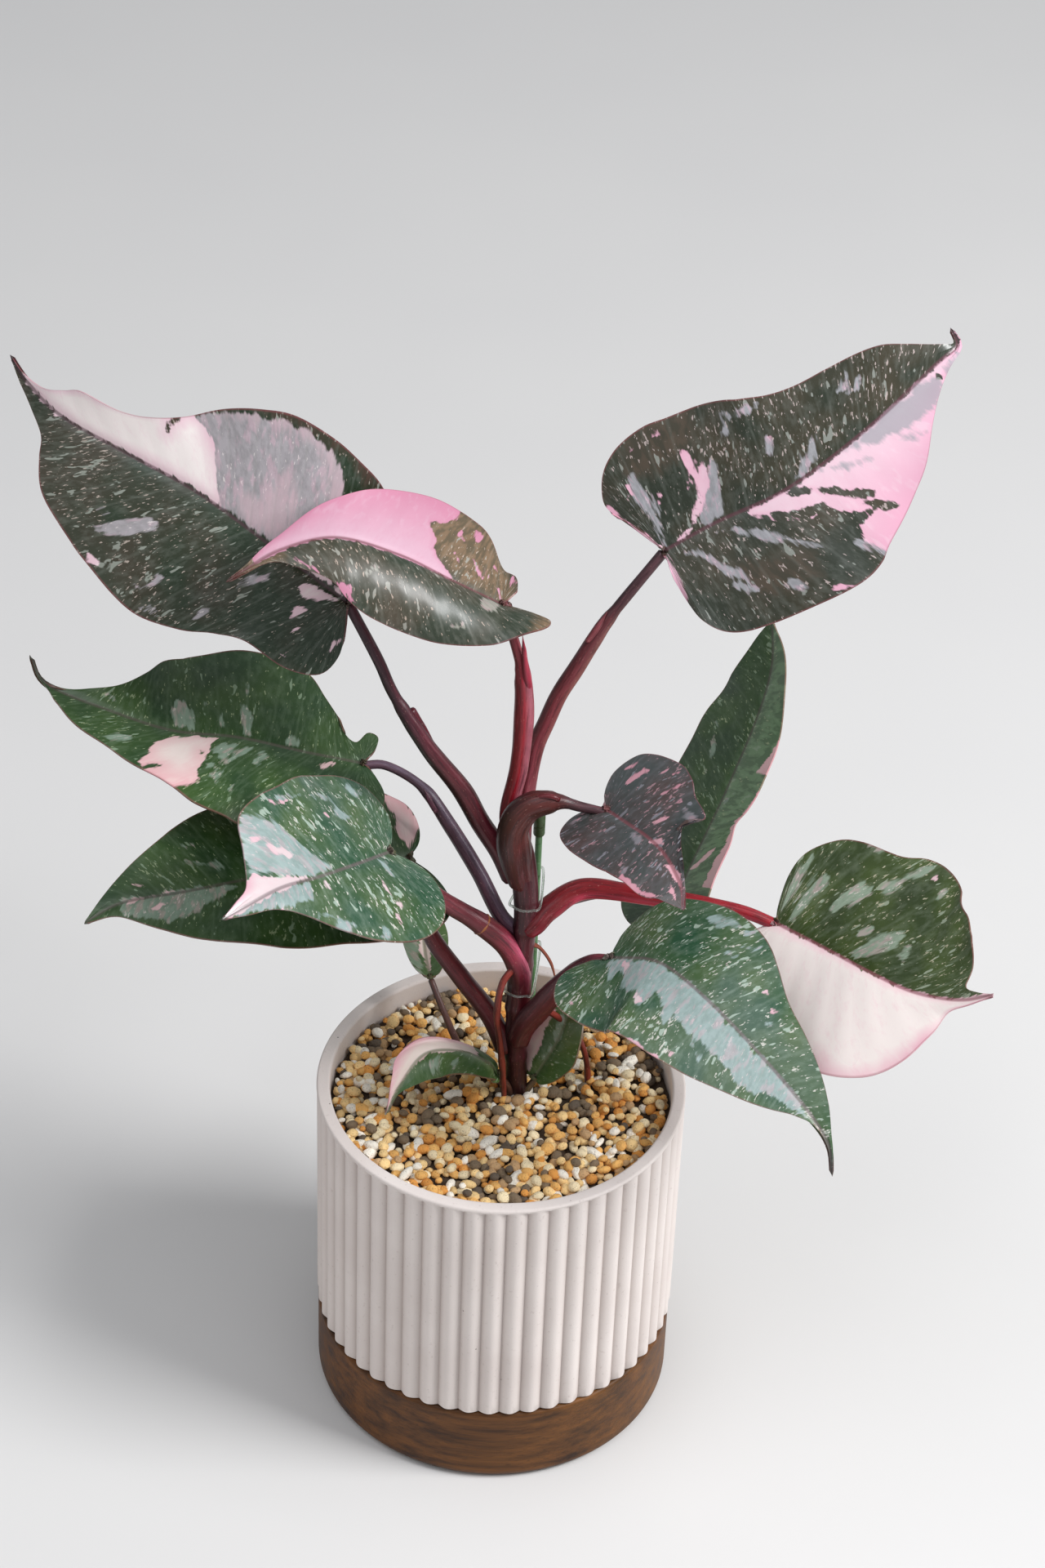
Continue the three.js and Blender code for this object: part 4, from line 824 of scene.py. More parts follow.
tube = {
    "firstSide": (0.35, -0.9, 0.2),
    "endRounding": 0.8,
    "ripples": ((0.018, 9), (0.008, 2.6)),  # share of the radius, run in mm
    "ridges": (0.1, 0.5, 0.2),  # height, angle from the seam, spread
    "seam": (0.9, 0.22),  # depth against the ridges, spread
    "sheathFade": 0.1,  # share of the length, as the fade of the painted highlight band
    # Painted shade: a tube is painted in its lit colours on the side that faces litFrom, and in its shade
    # colours on the other side.
    "litFrom": (0.75, -0.3, 0.6),
    "lit": (-0.5, 0.6),
    # Spread and fade of the painted highlight band.
    "sheenSpread": 0.13,
    "sheenFade": 0.1,
    "leafGap": 0.2,
    "smoothAngle": 60,
}


# A grid rolled into a tube along a curve, with closed round ends. Its cross-section is round unless the
# stalk has a sheath, which is fuller and has a seam between two ridges. Its colour is painted shade: each
# tone has a lit colour for the side that faces the light and a shade colour for the other side. Its sheen
# band is a painted highlight: the way it faces, its colour, its strength, and where along the stalk it
# starts and ends.
def rollTube(name, marks, radii, shadedSkin, paintedSheen=None, sides=24, spacing=1.5, flat=1.0, sheath=0.0, bumps=None,
             seed=0):
    length, placeAt = evenCurve(marks)
    rows = max(12, int(length / spacing))
    piece = addGrid(name, sides, rows)
    grid = points(piece.data)
    share = grid[:, 1] + 0.5
    angle = grid[:, 0] * 2 * math.pi
    steps = np.linspace(0, 1, rows + 1)
    path = placeAt(steps)
    ahead = unit(np.gradient(path, axis=0))
    normals = np.zeros_like(path)
    normals[0] = unit(np.cross(np.cross(ahead[0], tube["firstSide"]), ahead[0]))
    for i in range(1, len(path)):
        normals[i] = unit(normals[i - 1] - ahead[i] * (normals[i - 1] @ ahead[i]))
    ring = np.clip(np.round(share * rows).astype(int), 0, rows)
    radius = easedAlong(radii, share)
    ends = np.minimum(share, 1 - share) * length
    rounding = np.sqrt(np.clip(1 - (1 - np.clip(ends / (radius * tube["endRounding"]), 0, 1)) ** 2, 0, 1))
    radius = radius * rounding
    turn = random.Random(seed).uniform(0, 6.28)
    (ripple, rippleRun), (fineRipple, fineRun) = tube["ripples"]
    radius = radius * (1 + ripple * np.sin(share * length / rippleRun + turn)
                       + fineRipple * np.sin(share * length / fineRun))
    if sheath > 0:
        seamed = 1 - smoothStep(sheath - tube["sheathFade"], sheath, share)
        (height, beside, spread), (depth, seamSpread) = tube["ridges"], tube["seam"]
        ridge = np.exp(-((np.abs(angle) - beside) / spread) ** 2) - depth * np.exp(-(angle / seamSpread) ** 2)
        radius = radius * (1 + seamed * height * ridge)
    for place, height, width in bumps or []:
        radius = radius + height * np.exp(-((share * length - place) / width) ** 2)
    across = np.cross(ahead, normals)
    setPoints(piece.data, aroundPath(path, normals, across, ring, angle, radius, flat) * mm)
    setMarks(piece.data, "stalkPlace", np.column_stack([
        share * length, angle * easedAlong(radii, share), share]))
    stops = np.array([stop for stop, litHex, shadeHex in shadedSkin])
    litTones = np.array([linear(litHex)[:3] for stop, litHex, shadeHex in shadedSkin])
    shadeTones = np.array([linear(shadeHex)[:3] for stop, litHex, shadeHex in shadedSkin])
    # Painted shade: lit colours on the side towards the light, shade colours away from it.
    outward = normals[ring] * np.cos(angle)[:, None] + across[ring] * np.sin(angle)[:, None]
    lit = smoothStep(*tube["lit"], outward @ unit(np.array(tube["litFrom"])))
    tone = np.stack([np.interp(share, stops, litTones[:, k]) * lit
                     + np.interp(share, stops, shadeTones[:, k]) * (1 - lit) for k in range(3)], axis=-1)
    # Painted highlight: a lighter band where the surface faces the given way, standing for the sheen on the
    # cuticle.
    if paintedSheen:
        facing, sheenHex, most, since, until = paintedSheen
        band = most * np.exp(-((1 - outward @ unit(np.array(facing))) / tube["sheenSpread"]) ** 2)
        fade = tube["sheenFade"]
        band = band * smoothStep(since - fade, since + fade, share)
        band = (band * (1 - smoothStep(until - fade, until + fade, share)))[:, None]
        tone = tone * (1 - band) + np.array(linear(sheenHex)[:3]) * band
    setMarks(piece.data, "shadedSkin", tone)
    mergeDoubles(piece, outward=True)
    return piece


# Where each stalk's colour changes: share along it, the painted lit side towards the light, and the painted
# shaded other side.
# Each stalk's sheen band is a painted highlight.
stalks = {
    "leaf_upper_left": {
        "sheath": 0.66, "paintedSheen": ((0.75, -0.6, 0.2), "#6f2434", 0.5, -1, 1.2), "shadedSkin": [
            (0, "#5c1a22", "#2a0f14"), (0.4, "#55262a", "#221218"), (0.62, "#43222b", "#22151b"),
            (0.7, "#40282f", "#251a21"), (1, "#553a42", "#32242c")]},
    "leaf_top_folded": {
        "sheath": 0.8, "paintedSheen": ((0.72, -0.66, 0.1), "#b0707e", 0.6, -1, 0.8), "shadedSkin": [
            (0, "#7c1020", "#4c0a14"), (0.4, "#8c1620", "#5c0c18"), (0.8, "#8f2430", "#64121e"),
            (1, "#7a4248", "#4c262c")]},
    "leaf_upper_right": {
        "sheath": 0.75, "paintedSheen": ((0.5, -0.75, -0.4), "#8f6058", 0.65, -1, 0.75), "shadedSkin": [
            (0, "#8a4450", "#5c1a26"), (0.3, "#7a343c", "#541820"), (0.5, "#6a2a2f", "#4c141a"),
            (0.74, "#5a2a2e", "#401a20"), (0.8, "#43272c", "#2e1a20"), (1, "#5a3c42", "#38262c")]},
    "leaf_mid_left": {
        "sheath": 0.66, "paintedSheen": ((0.35, -0.5, 0.8), "#857a8e", 0.4, -1, 1.2), "shadedSkin": [
            (0, "#54283a", "#2e1824"), (0.4, "#553440", "#302029"), (0.66, "#4c303c", "#2e2028"),
            (0.74, "#5c4450", "#35262f"), (1, "#6b4e5c", "#3c2c38")]},
    "leaf_low_left": {
        "sheath": 0.45, "paintedSheen": ((0.3, -0.7, 0.6), "#8a3a3a", 0.4, -1, 1.2), "shadedSkin": [
            (0, "#4c1218", "#240b0f"), (0.5, "#641d25", "#2c0e13"), (1, "#84383e", "#3e1f27")]},
    "leaf_front_left": {
        "sheath": 0.52, "paintedSheen": ((0.85, -0.45, 0.25), "#c25c76", 0.85, 0.16, 0.38), "shadedSkin": [
            (0, "#43121a", "#1f0b0f"), (0.16, "#621a26", "#2c0e13"), (0.3, "#8a2438", "#401218"),
            (0.42, "#6a242a", "#38141a"), (0.55, "#6c2c34", "#3a1c22"), (1, "#94464e", "#48292f")]},
    "leaf_small_centre": {
        "sheath": 0.76, "paintedSheen": ((-0.2, -0.9, 0.3), "#5f2e26", 0.35, -1, 0.8), "shadedSkin": [
            (0, "#5c1a1f", "#2c0e10"), (0.45, "#54231f", "#281110"), (0.74, "#4c2020", "#241110"),
            (0.8, "#4c3438", "#2a1a1e"), (1, "#523339", "#2e1e23")]},
    "leaf_back_right": {
        "sheath": 0, "paintedSheen": ((-0.3, -0.6, 0.7), "#6f5058", 0.4, -1, 1.2), "shadedSkin": [
            (0, "#54242a", "#2f191e"), (1, "#5f4044", "#3a2a2a")]},
    "leaf_front_right": {
        "sheath": 0.42, "paintedSheen": ((-0.3, -0.8, 0.5), "#94444e", 0.4, -1, 1.2), "shadedSkin": [
            (0, "#5c141e", "#300c11"), (0.5, "#6c1f29", "#3a1017"), (1, "#7a343f", "#46232c")]},
    "leaf_half_pink": {
        "sheath": 0.3, "paintedSheen": ((0.1, -0.93, -0.3), "#b82e4a", 0.9, -1, 1.2), "shadedSkin": [
            (0, "#5c131b", "#7a1522"), (0.2, "#6e141a", "#961826"), (0.6, "#8a1620", "#921424"),
            (1, "#9a2630", "#7c1a28")]},
    "leaf_soil_left": {"sheath": 0, "shadedSkin": [(0, "#5b3a2c", "#3c2a22"), (1, "#6d4a3c", "#4a3a30")]},
    "leaf_soil_right": {"sheath": 0, "shadedSkin": [(0, "#5f4a32", "#3c2f22"), (1, "#6c5a3c", "#4a3f2c")]},
    "leaf_back_left": {"sheath": 0, "shadedSkin": [(0, "#5f3f3a", "#3a2a28"), (1, "#6c4c46", "#473430")]},
}
# Free tips of sheaths: pointed ears and round knobs at the side of their stalks.
# Each one's tones are painted shade: a lit colour for the side towards the light, then a shade colour.
ears = {
    "upperLeftKnob": {
        "path": [(-27.5, 22.8, 274), (-31.2, 24.2, 280), (-34.6, 25.3, 285.4), (-36.8, 26, 288.6)],
        "radii": [(0, 0.9), (0.6, 1.5), (1, 1.8)], "tones": ("#5c1c28", "#331218")},
    "topFoldedEar": {
        "path": [(4.6, 20.5, 300), (3.6, 20.4, 308), (2.7, 20.5, 314), (2.1, 21, 319.5), (1.4, 21.5, 325)],
        "radii": [(0, 1.2), (0.35, 1.5), (0.7, 0.9), (1, 0.12)], "tones": ("#9c2c40", "#641824")},
    "upperRightEar": {
        "path": [(23.5, 40.5, 309), (26.3, 42, 313), (28.8, 43.6, 317), (30.4, 44.6, 320)],
        "radii": [(0, 1), (0.5, 1.2), (1, 0.15)], "tones": ("#7a3a40", "#4c1c22")},
    "midLeftEar": {
        "path": [(-26.6, 31.5, 238.5), (-28.6, 32.6, 241.6), (-30.3, 34, 244.6), (-31.7, 35, 247)],
        "radii": [(0, 0.9), (0.6, 1), (1, 0.15)], "tones": ("#5e3444", "#38202c")},
    "smallCentreKnob": {
        "path": [(8, 5.8, 267.3), (11.5, 5.4, 268.4), (14.5, 5.2, 268.2), (16.6, 5.6, 266.6)],
        "radii": [(0, 0.8), (0.6, 1.1), (1, 1)], "tones": ("#5c1a20", "#32100f")},
}
stem = {
    "path": [(6, 6, 72), (5.8, 6, 100), (5.8, 6, 128), (4.7, 6.5, 156), (5.3, 8, 184), (6.5, 10, 212),
             (4.5, 11, 236), (2, 11, 249)],
    "radii": [(0, 3), (0.25, 3.9), (0.5, 4), (0.62, 4.4), (0.7, 4), (0.8, 4.4), (0.9, 4.6), (1, 3.6)],
    "nodes": [(58, 0.35, 1.6), (76, 0.5, 1.8), (98, 0.5, 1.6), (118, 0.4, 1.5), (134, 0.4, 1.5)],
    # Painted shade: each stop has the lit side's colour, then the shaded side's.
    "shadedSkin": [(0, "#3a281e", "#271c16"), (0.32, "#38201b", "#1f1412"), (0.42, "#451820", "#1c0b0d"),
             (0.62, "#5c1820", "#260c10"), (0.78, "#4a1a22", "#1d0c11"), (1, "#5a1e28", "#280f15")],
}
roots = {
    "paths": {
        "frontRoot": [(4, 5, 192), (-1, 1, 186), (-2.5, 0, 172), (-1, 0, 158), (1, 0, 136), (2, 0, 112)],
        "sideRoot": [(6, 8, 170), (14, 10, 167), (25, 12, 156), (31, 11, 141), (32, 10, 114)],
    },
    "radii": [(0, 1.3), (1, 0.9)],
    "knots": [(20, 0.2, 3), (47, 0.25, 4)],
    # Painted shade: each stop has the lit side's colour, then the shaded side's.
    "shadedSkin": [(0, "#8f362c", "#4f1d19"), (0.7, "#8a3a2c", "#4c2019"), (1, "#6f4630", "#402a1e")],
}
# The ring of a dried sheath round the front left stalk: its radii are added to the stalk's.
cuff = {
    "leaf": "leaf_front_left", "from": 0.455, "to": 0.5, "radii": [(0, 0.2), (0.5, 0.5), (1, 0.1)],
    # Painted shade: each stop has the lit side's colour, then the shaded side's.
    "shadedSkin": [(0, "#9a5a35", "#5c3422"), (1, "#b0713f", "#6a3f26")],
}


# The marks of a leaf's stalk, which ends just under the start of its rib.
def petioleMarks(leaf):
    origin, side, up, share = ribFrame(leaf, np.array([0.0]))
    end = origin[0] - up[0] * (leaf["radii"][-1][1] + tube["leafGap"])
    return [*leaf["petiole"], tuple(end)]


# Living stalk under a shiny cuticle: crimson and near black, streaked lengthwise, with small pale
# breathing pores, and glossy enough for a long thin highlight.
cuticle, tree, shader = newMaterial("glossy plant stalk")
stalkPlace = addNode(tree, "Attribute", attribute_name="stalkPlace").outputs["Vector"]
streaks, pores = (addNode(tree, "TexNoise", {
    "Vector": addNode(tree, "VectorMath", {0: stalkPlace, 1: (squeeze, 1, 1)}, operation="MULTIPLY"),
    "Scale": scale, "Detail": detail, "Roughness": roughness})
    for squeeze, scale, detail, roughness in ((0.09, 1.5, 3.0, 0.6), (0.5, 2.2, 1.0, 0.5)))
# The tube's colour brings in its painted lit and shaded sides and its painted highlight band.
shadedSkin = addNode(tree, "Attribute", attribute_name="shadedSkin").outputs["Color"]
spot = addNode(tree, "TexCoord").outputs["Object"]
blotch = addNode(tree, "TexNoise", {"Vector": spot, "Scale": 110.0, "Detail": 2.0})
feed(tree, shader, {
    "Base Color": paintOver(tree, shadedSkin,
                            ("#1f0e12", streaks, 0.5, 0.32, 0.6), ("#a8646e", streaks, 0.6, 0.74, 0.3),
                            ("#35151a", blotch, 0.5, 0.75, 0.35), ("#c79a8c", pores, 0.7, 0.76, 0.3)),
    "Roughness": addNode(tree, "MapRange", {"Value": blotch, "To Min": 0.26, "To Max": 0.44}),
    "Normal": addNode(tree, "Bump", {"Strength": 0.4, "Distance": 0.0003, "Height": streaks}),
    "Specular IOR Level": 0.4})

grown = [rollTube("stem", stem["path"], stem["radii"], stem["shadedSkin"], sides=32, bumps=stem["nodes"], seed=40)]
for seed, (leafName, stalk) in enumerate(stalks.items(), start=50):
    if leafName == "leaf_back_left":
        continue
    leaf = leaves[leafName]
    grown.append(rollTube("stalk_" + leafName, petioleMarks(leaf), leaf["radii"], stalk["shadedSkin"],
                          stalk.get("paintedSheen"), sheath=stalk["sheath"], seed=seed))
for seed, (earName, ear) in enumerate(ears.items(), start=70):
    tones = [(share, *ear["tones"]) for share in (0, 1)]
    grown.append(rollTube(earName, ear["path"], ear["radii"], tones, sides=16, spacing=0.6, seed=seed))
for seed, (rootName, marks) in enumerate(roots["paths"].items(), start=80):
    grown.append(rollTube(rootName, marks, roots["radii"], roots["shadedSkin"], sides=14, bumps=roots["knots"],
                          seed=seed))
length, placeAt = evenCurve(petioleMarks(leaves[cuff["leaf"]]))
stalkRadius = easedAlong(leaves[cuff["leaf"]]["radii"], np.array([cuff["from"]]))[0]
grown.append(rollTube("driedCuff", placeAt(np.linspace(cuff["from"], cuff["to"], 4)),
                      [(share, stalkRadius + more) for share, more in cuff["radii"]], cuff["shadedSkin"],
                      spacing=0.5, seed=90))
finishPiece(joinPieces("stem_and_stalks", grown), cuticle, tube["smoothAngle"], "stem", "stem_and_petioles")

backLeaf = leaves["leaf_back_left"]
backStalk = rollTube("back_shoot_stalk", petioleMarks(backLeaf), backLeaf["radii"],
                     stalks["leaf_back_left"]["shadedSkin"], sides=16, seed=70)
finishPiece(backStalk, cuticle, tube["smoothAngle"], "stem", "shoot_stalk_back_left")
print("stem, stalks and roots")


# Dried sheath: papery and fibrous, torn at its end
driedSheath = {
    "path": [(8, 10, 198), (12, 11, 195), (16, 8, 191), (18, 5, 186)],
    "radii": [(0, 1.9), (0.6, 1.7), (1, 0.9)],
    "flat": 0.35,
    # Painted shade: each stop has the lit side's colour, then the shaded side's.
    "shadedSkin": [(0, "#6f2a26", "#431a18"), (0.6, "#84402f", "#51261e"), (1, "#94583e", "#5c3426")],
}
strip = rollTube("dried_sheath", driedSheath["path"], driedSheath["radii"], driedSheath["shadedSkin"],
                 sides=20, spacing=0.6, flat=driedSheath["flat"], seed=95)
# Dead plant fibre: matte, with lengthwise ribs.
papery, tree, shader = newMaterial("dried papery sheath")
stalkPlace = addNode(tree, "Attribute", attribute_name="stalkPlace").outputs["Vector"]
fibres = addNode(tree, "TexNoise", {
    "Vector": addNode(tree, "VectorMath", {0: stalkPlace, 1: (0.12, 1, 1)}, operation="MULTIPLY"),
    "Scale": 2.6, "Detail": 3.0})
# The tube's colour carries its painted lit and shaded sides.
shadedSkin = addNode(tree, "Attribute", attribute_name="shadedSkin").outputs["Color"]
feed(tree, shader, {
    "Base Color": paintOver(tree, shadedSkin, ("#8f5038", fibres)),
    "Normal": addNode(tree, "Bump", {"Strength": 0.7, "Distance": 0.0004, "Height": fibres}),
    "Roughness": 0.85})
finishPiece(strip, papery, tube["smoothAngle"], "dried_sheath", "dried_bud_sheath")


# Turned pieces: a grid rolled about Z along a closed profile of (radius, height) in mm

def rollProfile(name, profile, columns, shape=None):
    piece = addGrid(name, columns, len(profile) - 1)
    grid = points(piece.data)
    row = np.round((grid[:, 1] + 0.5) * (len(profile) - 1)).astype(int)
    angle = -grid[:, 0] * 2 * math.pi
    outline = np.asarray(profile, dtype=float)
    radius, height = outline[row, 0], outline[row, 1]
    if shape:
        radius, height = shape(radius, height, angle, row)
    setPoints(piece.data, np.column_stack([radius * np.cos(angle), radius * np.sin(angle), height]) * mm)
    mergeDoubles(piece, outward=True)
    return piece


# Profile points on a rounded edge, between two angles in degrees.
def arc(radius, height, size, start, end, steps=6):
    turns = np.radians(np.linspace(start, end, steps + 1))
    return [(radius + size * math.cos(a), height + size * math.sin(a)) for a in turns]


pot = {
    "radius": 67.5, "top": 139.7, "wall": 5, "outerLip": 0.9, "innerLip": 1.2,
    "footRadius": 59.8, "footWall": 5, "floor": 6, "drainRadius": 6, "rest": 10.3, "seat": 34.9,
    "flutes": 54, "fluteDepth": 2, "rimBand": 1, "archDepth": 0.6, "archFade": 1.4,
    "wobbles": ((0.12, 3, 1), (0.05, 7, 0)),  # mm, turns round the pot, start
    "columnsEach": 10, "smoothAngle": 40,
}
innerRadius = pot["radius"] - pot["wall"]
footInner = pot["footRadius"] - pot["footWall"]
floorTop = pot["rest"] + pot["floor"]
bodyHeights = [pot["seat"] + 0.9 + h for h in np.linspace(0, pot["top"] - pot["seat"] - 7.5, 22)]
fadeHeights = list(np.linspace(pot["top"] - 5, pot["top"] - 1, 10))
potProfile = (
    [(pot["drainRadius"], pot["rest"]), (pot["footRadius"] - 1, pot["rest"]),
     (pot["footRadius"], pot["rest"] + 1), (pot["footRadius"], pot["seat"]),
     (pot["radius"] - 2.2, pot["seat"]), (pot["radius"] - 0.7, pot["seat"] + 0.2)]
    + [(pot["radius"], h) for h in bodyHeights + fadeHeights]
    + arc(pot["radius"] - pot["outerLip"], pot["top"] - pot["outerLip"], pot["outerLip"], 10, 90)
    + arc(innerRadius + pot["innerLip"], pot["top"] - pot["innerLip"], pot["innerLip"], 90, 180)
    + [(innerRadius, h) for h in np.linspace(pot["top"] - 6, pot["seat"] + 14, 6)]
    + [(footInner, pot["seat"] + 6), (footInner, floorTop + 2), (footInner - 2, floorTop),
       (pot["drainRadius"], floorTop), (pot["drainRadius"], pot["rest"])])
outerRows = (5, 5 + len(bodyHeights) + len(fadeHeights))


# Round ribs that meet in narrow grooves, and run out under the lip in small arches.
def fluted(radius, height, angle, row):
    turn = angle * pot["flutes"] / 2
    groove = 1 - np.abs(np.sin(turn)) ** 0.95
    arch = pot["top"] - pot["rimBand"] - pot["archDepth"] * (1 - np.abs(np.sin(turn)) ** 0.5)
    fade = 1 - smoothStep(arch - pot["archFade"], arch, height)
    on = (row >= outerRows[0]) & (row <= outerRows[1])
    foot = smoothStep(pot["seat"] - 0.2, pot["seat"] + 0.4, height)
    wobble = sum(most * np.sin(turns * angle + start) for most, turns, start in pot["wobbles"])
    return radius + np.where(on, wobble - pot["fluteDepth"] * groove * fade * foot - 0.05, 0), height


potPiece = rollProfile("fluted_pot", potProfile, pot["flutes"] * pot["columnsEach"], fluted)
spots = points(potPiece.data) / mm
turn = np.arctan2(spots[:, 1], spots[:, 0]) * pot["flutes"] / 2
grooved = (1 - np.abs(np.sin(turn))) ** 2 * (np.hypot(spots[:, 0], spots[:, 1]) > pot["radius"] - 2.5)
grooved = grooved * (1 - smoothStep(pot["top"] - 4, pot["top"] - 1.5, spots[:, 2]))
setMarks(potPiece.data, "groove", np.column_stack([grooved, grooved, grooved]))
# Unglazed pale stoneware, cast and fired: matte, faintly pink, with dark iron specks and a few pits.
clay, tree, shader = newMaterial("cast matte stoneware")
spot = addNode(tree, "TexCoord").outputs["Object"]
cloud, specks, grit = (addNode(tree, "TexNoise", {"Vector": spot, "Scale": scale, "Detail": detail})
                       for scale, detail in ((28.0, 4.0), (620.0, 2.0), (1500.0, 2.0)))
iron, pits = (addNode(tree, "TexVoronoi", {"Vector": spot, "Scale": scale}) for scale in (210.0, 95.0))
# Painted shade: the colour is darker in the grooves.
grooveShade = addNode(tree, "Attribute", attribute_name="groove").outputs["Fac"]
# The pits are painted dark, as painted shade inside them.
colour = paintOver(tree, "#ded5d0", ("#d6ccc7", cloud, 0.35, 0.65), ("#a8958f", specks, 0.64, 0.76, 0.25),
                   ("#8d7d78", iron, 0.08, 0.03, 0.3), ("#5a4a48", pits, 0.035, 0.02, 0.8),
                   ("#a39690", grooveShade, 0, 1, 0.55))
pitHeight = addNode(tree, "MapRange", {"Value": pits, "From Min": 0.015, "From Max": 0.04})
feed(tree, shader, {
    "Base Color": colour,
    "Normal": addNode(tree, "Bump", {"Strength": 0.35, "Distance": 0.0004, "Height": addNode(
        tree, "Math", {0: grit, 1: 0.4, 2: pitHeight}, operation="MULTIPLY_ADD")}),
    "Roughness": 0.78,
    "Specular IOR Level": 0.35})
finishPiece(potPiece, clay, pot["smoothAngle"], "stoneware", "pot")

woodBase = {
    "radius": 67, "height": 34.6, "recess": 60.1, "floor": 10, "edge": 4.5, "brow": 1.4, "recessEdge": 0.6,
    "columns": 128, "smoothAngle": 40,
}
baseProfile = (
    [(0, 0), (40, 0)]
    + arc(woodBase["radius"] - woodBase["edge"], woodBase["edge"], woodBase["edge"], -90, 0, 8)
    + [(woodBase["radius"], h) for h in np.linspace(8, 30, 5)]
    + arc(woodBase["radius"] - woodBase["brow"], woodBase["height"] - woodBase["brow"], woodBase["brow"],
          0, 90)
    + arc(woodBase["recess"] + woodBase["recessEdge"], woodBase["height"] - woodBase["recessEdge"],
          woodBase["recessEdge"], 90, 180, 3)
    + [(woodBase["recess"], 20), (woodBase["recess"], woodBase["floor"]), (30, woodBase["floor"]),
       (0, woodBase["floor"])])
basePiece = rollProfile("turned_base", baseProfile, woodBase["columns"])
# Walnut, turned and oiled: dark long grain with darker streaks and short open pores, and a satin skin.
walnut, tree, shader = newMaterial("oiled turned walnut")
spot = addNode(tree, "TexCoord").outputs["Object"]
warp, porous = (addNode(tree, "TexNoise", {
    "Vector": addNode(tree, "Mapping", {"Vector": spot, "Scale": stretch}), "Scale": 1.0, "Detail": detail})
    for stretch, detail in (((4, 22, 22), 3.0), ((160, 1500, 1500), 1.0)))
warped = addNode(tree, "VectorMath", {
    0: addNode(tree, "VectorMath", {0: warp.outputs["Color"], 1: (0.004, 0.006, 0.01)}, operation="MULTIPLY"),
    1: spot}, operation="ADD")
bands = addNode(tree, "TexNoise", {
    "Vector": addNode(tree, "Mapping", {"Vector": warped, "Scale": (12, 150, 260)}),
    "Scale": 1.0, "Detail": 4.0, "Roughness": 0.62})
# The warp noise paints lighter patches over the grain, a painted highlight.
feed(tree, shader, {
    "Base Color": paintOver(tree, "#2a170b", ("#714721", bands, 0.3, 0.7),
                            ("#835a2a", warp, 0.45, 0.75, 0.28), ("#26180e", porous, 0.6, 0.7, 0.35)),
    "Roughness": addNode(tree, "MapRange", {"Value": bands, "To Min": 0.42, "To Max": 0.58}),
    "Normal": addNode(tree, "Bump", {"Strength": 0.25, "Distance": 0.0003, "Height": porous}, invert=True),
    "Specular IOR Level": 0.25})
finishPiece(basePiece, walnut, woodBase["smoothAngle"], "dark_wood", "wood_base")
print("pot and base")


# Planting mix: a bed, and granules that lie on it

mix = {
    "bedTop": 129.4, "bedDrop": 0.4, "clearance": 0.3, "bedRings": 40, "columns": 96, "bedTone": "#4a3d31",
    "lumps": 0.6, "reach": 61.9, "topLimit": 134.2, "seed": 11, "shapes": 5, "knobs": 9,
    "spacing": 3.7, "layers": 2, "layerHeight": 2.2, "size": (2.6, 5.2), "jitter": 0.4,
    "bigShare": 0.12, "bigger": 1.15, "upperGaps": 0.45,
    "knobHeights": (-0.1, 0.13), "knobSpread": 0.35, "rowSpacing": 0.92, "shades": (0.9, 1.18),
    "bark": (-4, 38, 1, 11, 0.05),  # the one large chip: place, layer, size, tone
    "small": 230, "smallSize": (2.2, 3.4), "smoothAngle": 50,
    "tones": [  # share, colour
        (0.13, "#f8f2e4"), (0.16, "#f6e4bc"), (0.21, "#f2cf92"), (0.19, "#eab468"), (0.11, "#de9a4c"),
        (0.07, "#bf9c72"), (0.09, "#7c6b56"), (0.05, "#5f5448")],
}
bedFoot, bedRadius = footInner - mix["clearance"], innerRadius - mix["clearance"]
bedFloor = floorTop + mix["clearance"]
bedProfile = (
    [(0, bedFloor), (bedFoot - 2.1, bedFloor), (bedFoot, bedFloor + 2), (bedFoot, pot["seat"] + 5.6),
     (bedRadius, pot["seat"] + 13.8), (bedRadius, 80)]
    + [(bedRadius - k * 1.55, mix["bedTop"] - mix["bedDrop"]) for k in range(mix["bedRings"])]
    + [(0, mix["bedTop"] - mix["bedDrop"])])


# The top of the bed, lumpy except at its middle point.
def uneven(radius, height, angle, row):
    lumps = np.sin(radius * 0.9 + 2 * np.sin(angle * 9)) * np.sin(angle * 23 + radius * 0.4)
    return radius, height + np.where(height > 100, mix["lumps"] * lumps * smoothStep(0, 8, radius), 0)


bed = rollProfile("bed", bedProfile, mix["columns"], uneven)
setMarks(bed.data, "tone", np.tile(linear(mix["bedTone"])[:3], (len(bed.data.vertices), 1)))
rng = random.Random(mix["seed"])
nuggets = []
for kind in range(mix["shapes"]):
    nugget = addObject("nugget" + str(kind), bpy.ops.mesh.primitive_ico_sphere_add,
                       subdivisions=2, radius=0.5)
    shape = points(nugget.data)
    knobs = [(unit(np.array([rng.gauss(0, 1) for axis in range(3)])), rng.uniform(*mix["knobHeights"]))
             for k in range(mix["knobs"])]
    swell = 1 + sum(size * np.exp(-np.sum((unit(shape) - knob) ** 2, axis=1) / mix["knobSpread"])
                    for knob, size in knobs)
    setPoints(nugget.data, shape * swell[:, None])
    nugget.data.attributes.new("tone", "FLOAT_VECTOR", "POINT")
    nuggets.append(nugget)

